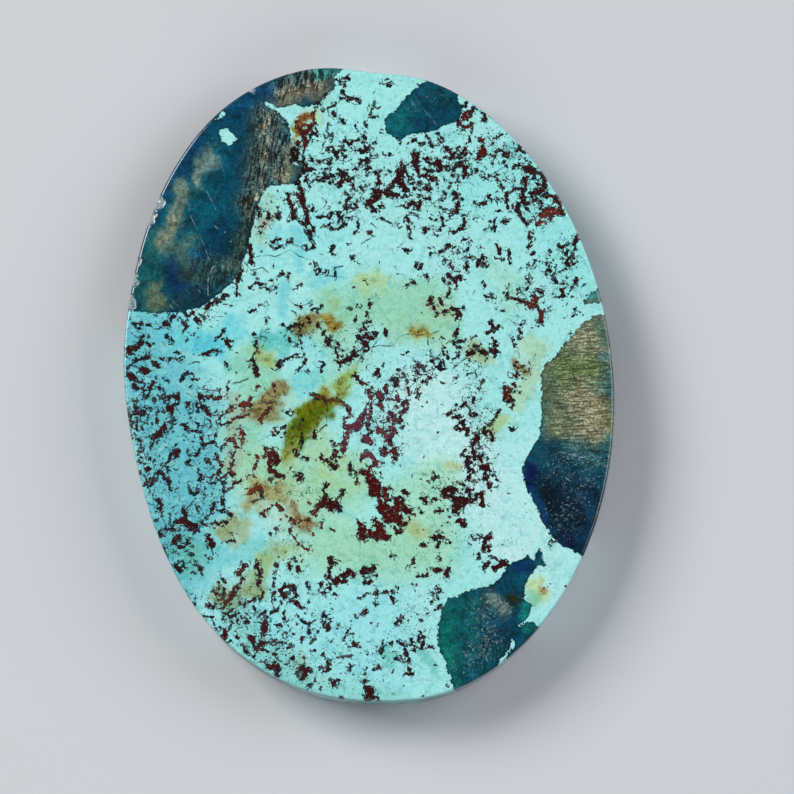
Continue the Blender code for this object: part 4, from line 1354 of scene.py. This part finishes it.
def matrix_look(nodes, place):
    """The turquoise: its broad tints, clouded at several sizes."""
    tint = nodes.attribute("matrix_tint", "Color")
    cloud = nodes.noise(place, 0.45, 5.0, 0.6, 0.8)
    parts = nodes.add("ShaderNodeSeparateColor", {"Color": tint})
    warm = nodes.ramp(parts.outputs["Blue"], 0.36, 0.10)
    cloud = nodes.times(nodes.ramp(cloud, 0.52, 0.75, 0.0, 0.22), nodes.ramp(warm, 0.0, 0.6, 1.0, 0.0))
    tint = nodes.mix(cloud, tint, rgba(MATRIX_CLOUD_COLOR))
    deep = nodes.noise(place, 0.8, 4.0, 0.6, 1.2)
    tint = nodes.stained(nodes.ramp(deep, 0.5, 0.74, 0.0, 0.65), tint, rgba(MATRIX_DEEP_TINT))
    green = nodes.noise(place, 0.55, 5.0, 0.65, 1.0)
    tint = nodes.stained(nodes.ramp(green, 0.56, 0.8, 0.0, 0.7), tint, rgba(MATRIX_GREEN_TINT))
    holes = nodes.ramp(nodes.noise(bent(nodes, place, 1.5, 0.6), 1.9, 5.0, 0.68), 0.52, 0.62, 0.0, 0.36)
    holes = nodes.times(holes, nodes.ramp(warm, 0.0, 0.8, 1.0, 0.03))
    tint = nodes.mix(holes, tint, rgba(MATRIX_HOLE_COLOR))
    rust = nodes.ramp(nodes.noise(bent(nodes, place, 1.6, 0.9), 2.6, 5.0, 0.7), 0.50, 0.60, 0.0, 0.8)
    rust = nodes.times(rust, warm)
    tint = nodes.stained(rust, tint, rgba(MATRIX_RUST_TINT))
    lines = nodes.times(curls(nodes, bent(nodes, place, 0.9, 0.5), 1.9, 0.030), warm)
    tint = nodes.mix(nodes.times(lines, 0.65), tint, rgba(RUST_LINE_COLOR))
    shade = nodes.ramp(nodes.noise(bent(nodes, place, 2.0, 0.5), 2.6, 5.0, 0.7), 0.52, 0.66, 0.0, 0.6)
    tint = nodes.stained(shade, tint, rgba(MATRIX_SHADE_TINT))
    grain = nodes.ramp(nodes.noise(place, 5.0, 5.0, 0.72), 0.25, 0.75, 0.86, 1.09)
    return nodes.tinted(tint, grain)


def curls(nodes, place, scale, width):
    """Thin curling lines, where a noise crosses its middle value."""
    level = nodes.maths("ABSOLUTE", nodes.minus(nodes.noise(place, scale, 2.0, 0.5, 0.6), 0.5))
    swell = nodes.ramp(nodes.noise(place, scale * 1.7, 1.0), 0.35, 0.65, 0.25, 1.6)
    reach = nodes.times(swell, width)
    return nodes.ramp(nodes.maths("DIVIDE", level, reach), 1.25, 0.75)


def torn(nodes, place, scale, density, cover):
    """Where broken lines show: nowhere at no density, and more of the way the thicker that they lie."""
    limit = nodes.minus(0.66, nodes.times(density, cover))
    return nodes.ramp(nodes.minus(nodes.noise(place, scale, 2.0, 0.5), limit), 0.0, 0.03)


def speck_look(nodes, place, density):
    """The smallest flecks and hairline cracks, which crowd where density is high."""
    lumps = nodes.noise(place, 3.2, 3.0, 0.6, 1.5)
    limit = nodes.minus(0.685, nodes.times(density, 0.13))
    spots = nodes.ramp(nodes.minus(lumps, limit), 0.0, 0.02)
    grit = nodes.noise(place, 8.5, 2.0, 0.55, 1.2)
    limit = nodes.minus(0.735, nodes.times(density, 0.11))
    spots = nodes.most(spots, nodes.ramp(nodes.minus(grit, limit), 0.0, 0.03, 0.0, 0.9))
    scribble = nodes.times(curls(nodes, place, 1.15, 0.030), torn(nodes, place, 1.7, density, 0.13))
    spots = nodes.most(spots, scribble)
    cracks = nodes.cells(bent(nodes, place, 1.1, 1.0), 0.9, "DISTANCE_TO_EDGE")
    cracks = nodes.ramp(cracks, 0.030, 0.012)
    broken = nodes.ramp(nodes.noise(place, 1.3, 3.0), 0.50, 0.58)
    cracks = nodes.times(nodes.times(cracks, broken), nodes.maths("MINIMUM", density, 0.7))
    web = nodes.ramp(nodes.cells(bent(nodes, place, 2.0, 0.75), 1.15, "DISTANCE_TO_EDGE"), 0.11, 0.06)
    web = nodes.times(web, torn(nodes, place, 1.5, density, 0.10))
    cracks = nodes.most(cracks, web)
    present = nodes.ramp(density, 0.03, 0.15)
    share = nodes.most(nodes.times(spots, present), cracks)
    redness = nodes.ramp(nodes.noise(place, 3.0, 2.0), 0.44, 0.58, 0.15, 1.0)
    tint = nodes.mix(redness, rgba(SPECK_COLOR), nodes.attribute("fleck_tint", "Color"))
    return nodes.times(share, 0.94), tint


def patch_look(nodes, place, depth):
    """The dark blue patches: clouded blues, tan grain that follows its flow, and a dark margin."""
    tint = nodes.attribute("patch_tint", "Color")
    parts = nodes.add("ShaderNodeSeparateColor", {"Color": tint})
    grain = nodes.attribute("grain")
    mottle = nodes.ramp(nodes.noise(place, 3.2, 5.0, 0.72), 0.40, 0.62, 0.75, 0.0)
    mottle = nodes.times(mottle, nodes.ramp(parts.outputs["Red"], 0.05, 0.25))
    mottle = nodes.times(mottle, nodes.ramp(grain, 0.0, 0.6, 1.0, 0.0))
    tint = nodes.mix(mottle, tint, rgba(PATCH_MOTTLE_COLOR))
    cloud = nodes.ramp(nodes.noise(place, 1.1, 6.0, 0.75, 0.5), 0.28, 0.72, 0.4, 1.5)
    tint = nodes.stained(nodes.ramp(grain, 0.0, 1.0, 1.0, 0.35), tint, cloud)
    fine = nodes.ramp(nodes.noise(place, 4.5, 4.0, 0.75), 0.35, 0.65, 0.70, 1.28)
    tint = nodes.tinted(tint, fine)
    flow = nodes.attribute("grain_flow", "Vector")
    streaks = nodes.noise(flow, 1.0, 5.0, 0.75)
    light = nodes.tinted(tint, nodes.ramp(streaks, 0.42, 0.58, 0.14, 2.2))
    crumbs = nodes.noise(place, 6.5, 3.0, 0.7)
    light = nodes.tinted(light, nodes.ramp(crumbs, 0.39, 0.61, 0.35, 1.8))
    tint = nodes.mix(nodes.times(grain, 0.95), tint, light)
    sparkle = nodes.attribute("sparkle")
    limit = nodes.minus(0.72, nodes.times(sparkle, 0.155))
    dust = nodes.minus(nodes.noise(place, 6.0, 4.0, 0.7, 1.0), limit)
    dust = nodes.ramp(dust, 0.0, 0.07, 0.0, 0.6)
    tint = nodes.mix(dust, tint, rgba(PATCH_DUST_COLOR))
    dark = nodes.ramp(nodes.noise(bent(nodes, place, 3.0, 0.2), 6.0, 3.0, 0.7), 0.44, 0.3, 0.0, 0.75)
    tint = nodes.mix(dark, tint, rgba(PATCH_DARK_COLOR))
    margin = nodes.ramp(depth, 2.6, 0.6, 0.0, 0.65)
    return nodes.mix(margin, tint, rgba(PATCH_MARGIN_COLOR))


# The floor, the light and the camera


def plain_material(name, tint):
    """A matt material, faintly clouded."""
    material = bpy.data.materials.new(name)
    material.use_nodes = True
    nodes = Nodes(material)
    shader = material.node_tree.nodes["Principled BSDF"]
    place = nodes.add("ShaderNodeTexCoord").outputs["Object"]
    cloud = nodes.ramp(nodes.noise(place, 6.0, 3.0), 0.3, 0.7, 0.97, 1.0)
    nodes.join(shader.inputs["Base Color"], nodes.tinted(rgba(tint), cloud))
    shader.inputs["Roughness"].default_value = 0.9
    return material


def add_floor():
    mesh = bpy.data.meshes.new("floor")
    corners = [(x * FLOOR_HALF, y * FLOOR_HALF, 0) for x, y in ((-1, -1), (1, -1), (1, 1), (-1, 1))]
    mesh.from_pydata(corners, [], [(0, 1, 2, 3)])
    mesh.materials.append(plain_material("pale_floor", FLOOR_COLOR))
    floor = bpy.data.objects.new("floor", mesh)
    bpy.context.scene.collection.objects.link(floor)


def add_light():
    """The softboxes, all turned to the stone, in a dim studio."""
    for name, place, size, power, tint in SOFTBOXES:
        light = bpy.data.lights.new(name, "AREA")
        light.size = size
        light.energy = power
        light.color = tint
        lamp = bpy.data.objects.new(name, light)
        lamp.location = place
        lamp.rotation_euler = (-Vector(place)).to_track_quat("-Z", "Y").to_euler()
        bpy.context.scene.collection.objects.link(lamp)
    world = bpy.data.worlds.new("studio")
    world.use_nodes = True
    background = world.node_tree.nodes["Background"]
    background.inputs["Color"].default_value = STUDIO_COLOR
    background.inputs["Strength"].default_value = STUDIO_STRENGTH
    bpy.context.scene.world = world


def add_camera():
    _, _, back = camera_axes()
    camera = bpy.data.cameras.new("camera")
    camera.sensor_width = SENSOR
    camera.lens = SENSOR * CAMERA_DISTANCE / SEEN_WIDTH
    camera.clip_start, camera.clip_end = 0.01, 10.0
    holder = bpy.data.objects.new("camera", camera)
    holder.location = Vector((np.array(LOOKS_AT) + back * CAMERA_DISTANCE) * MM)
    holder.rotation_euler = Vector(-back).to_track_quat("-Z", "Y").to_euler()
    bpy.context.scene.collection.objects.link(holder)
    bpy.context.scene.camera = holder


def main():
    noise.seed_set(NOISE_SEED)
    stone = build_stone()
    stone.data.materials.append(stone_material())
    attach(stone, "root")
    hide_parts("stone")
    add_floor()
    add_light()
    add_camera()
    bpy.context.scene.view_settings.view_transform = "Standard"


main()
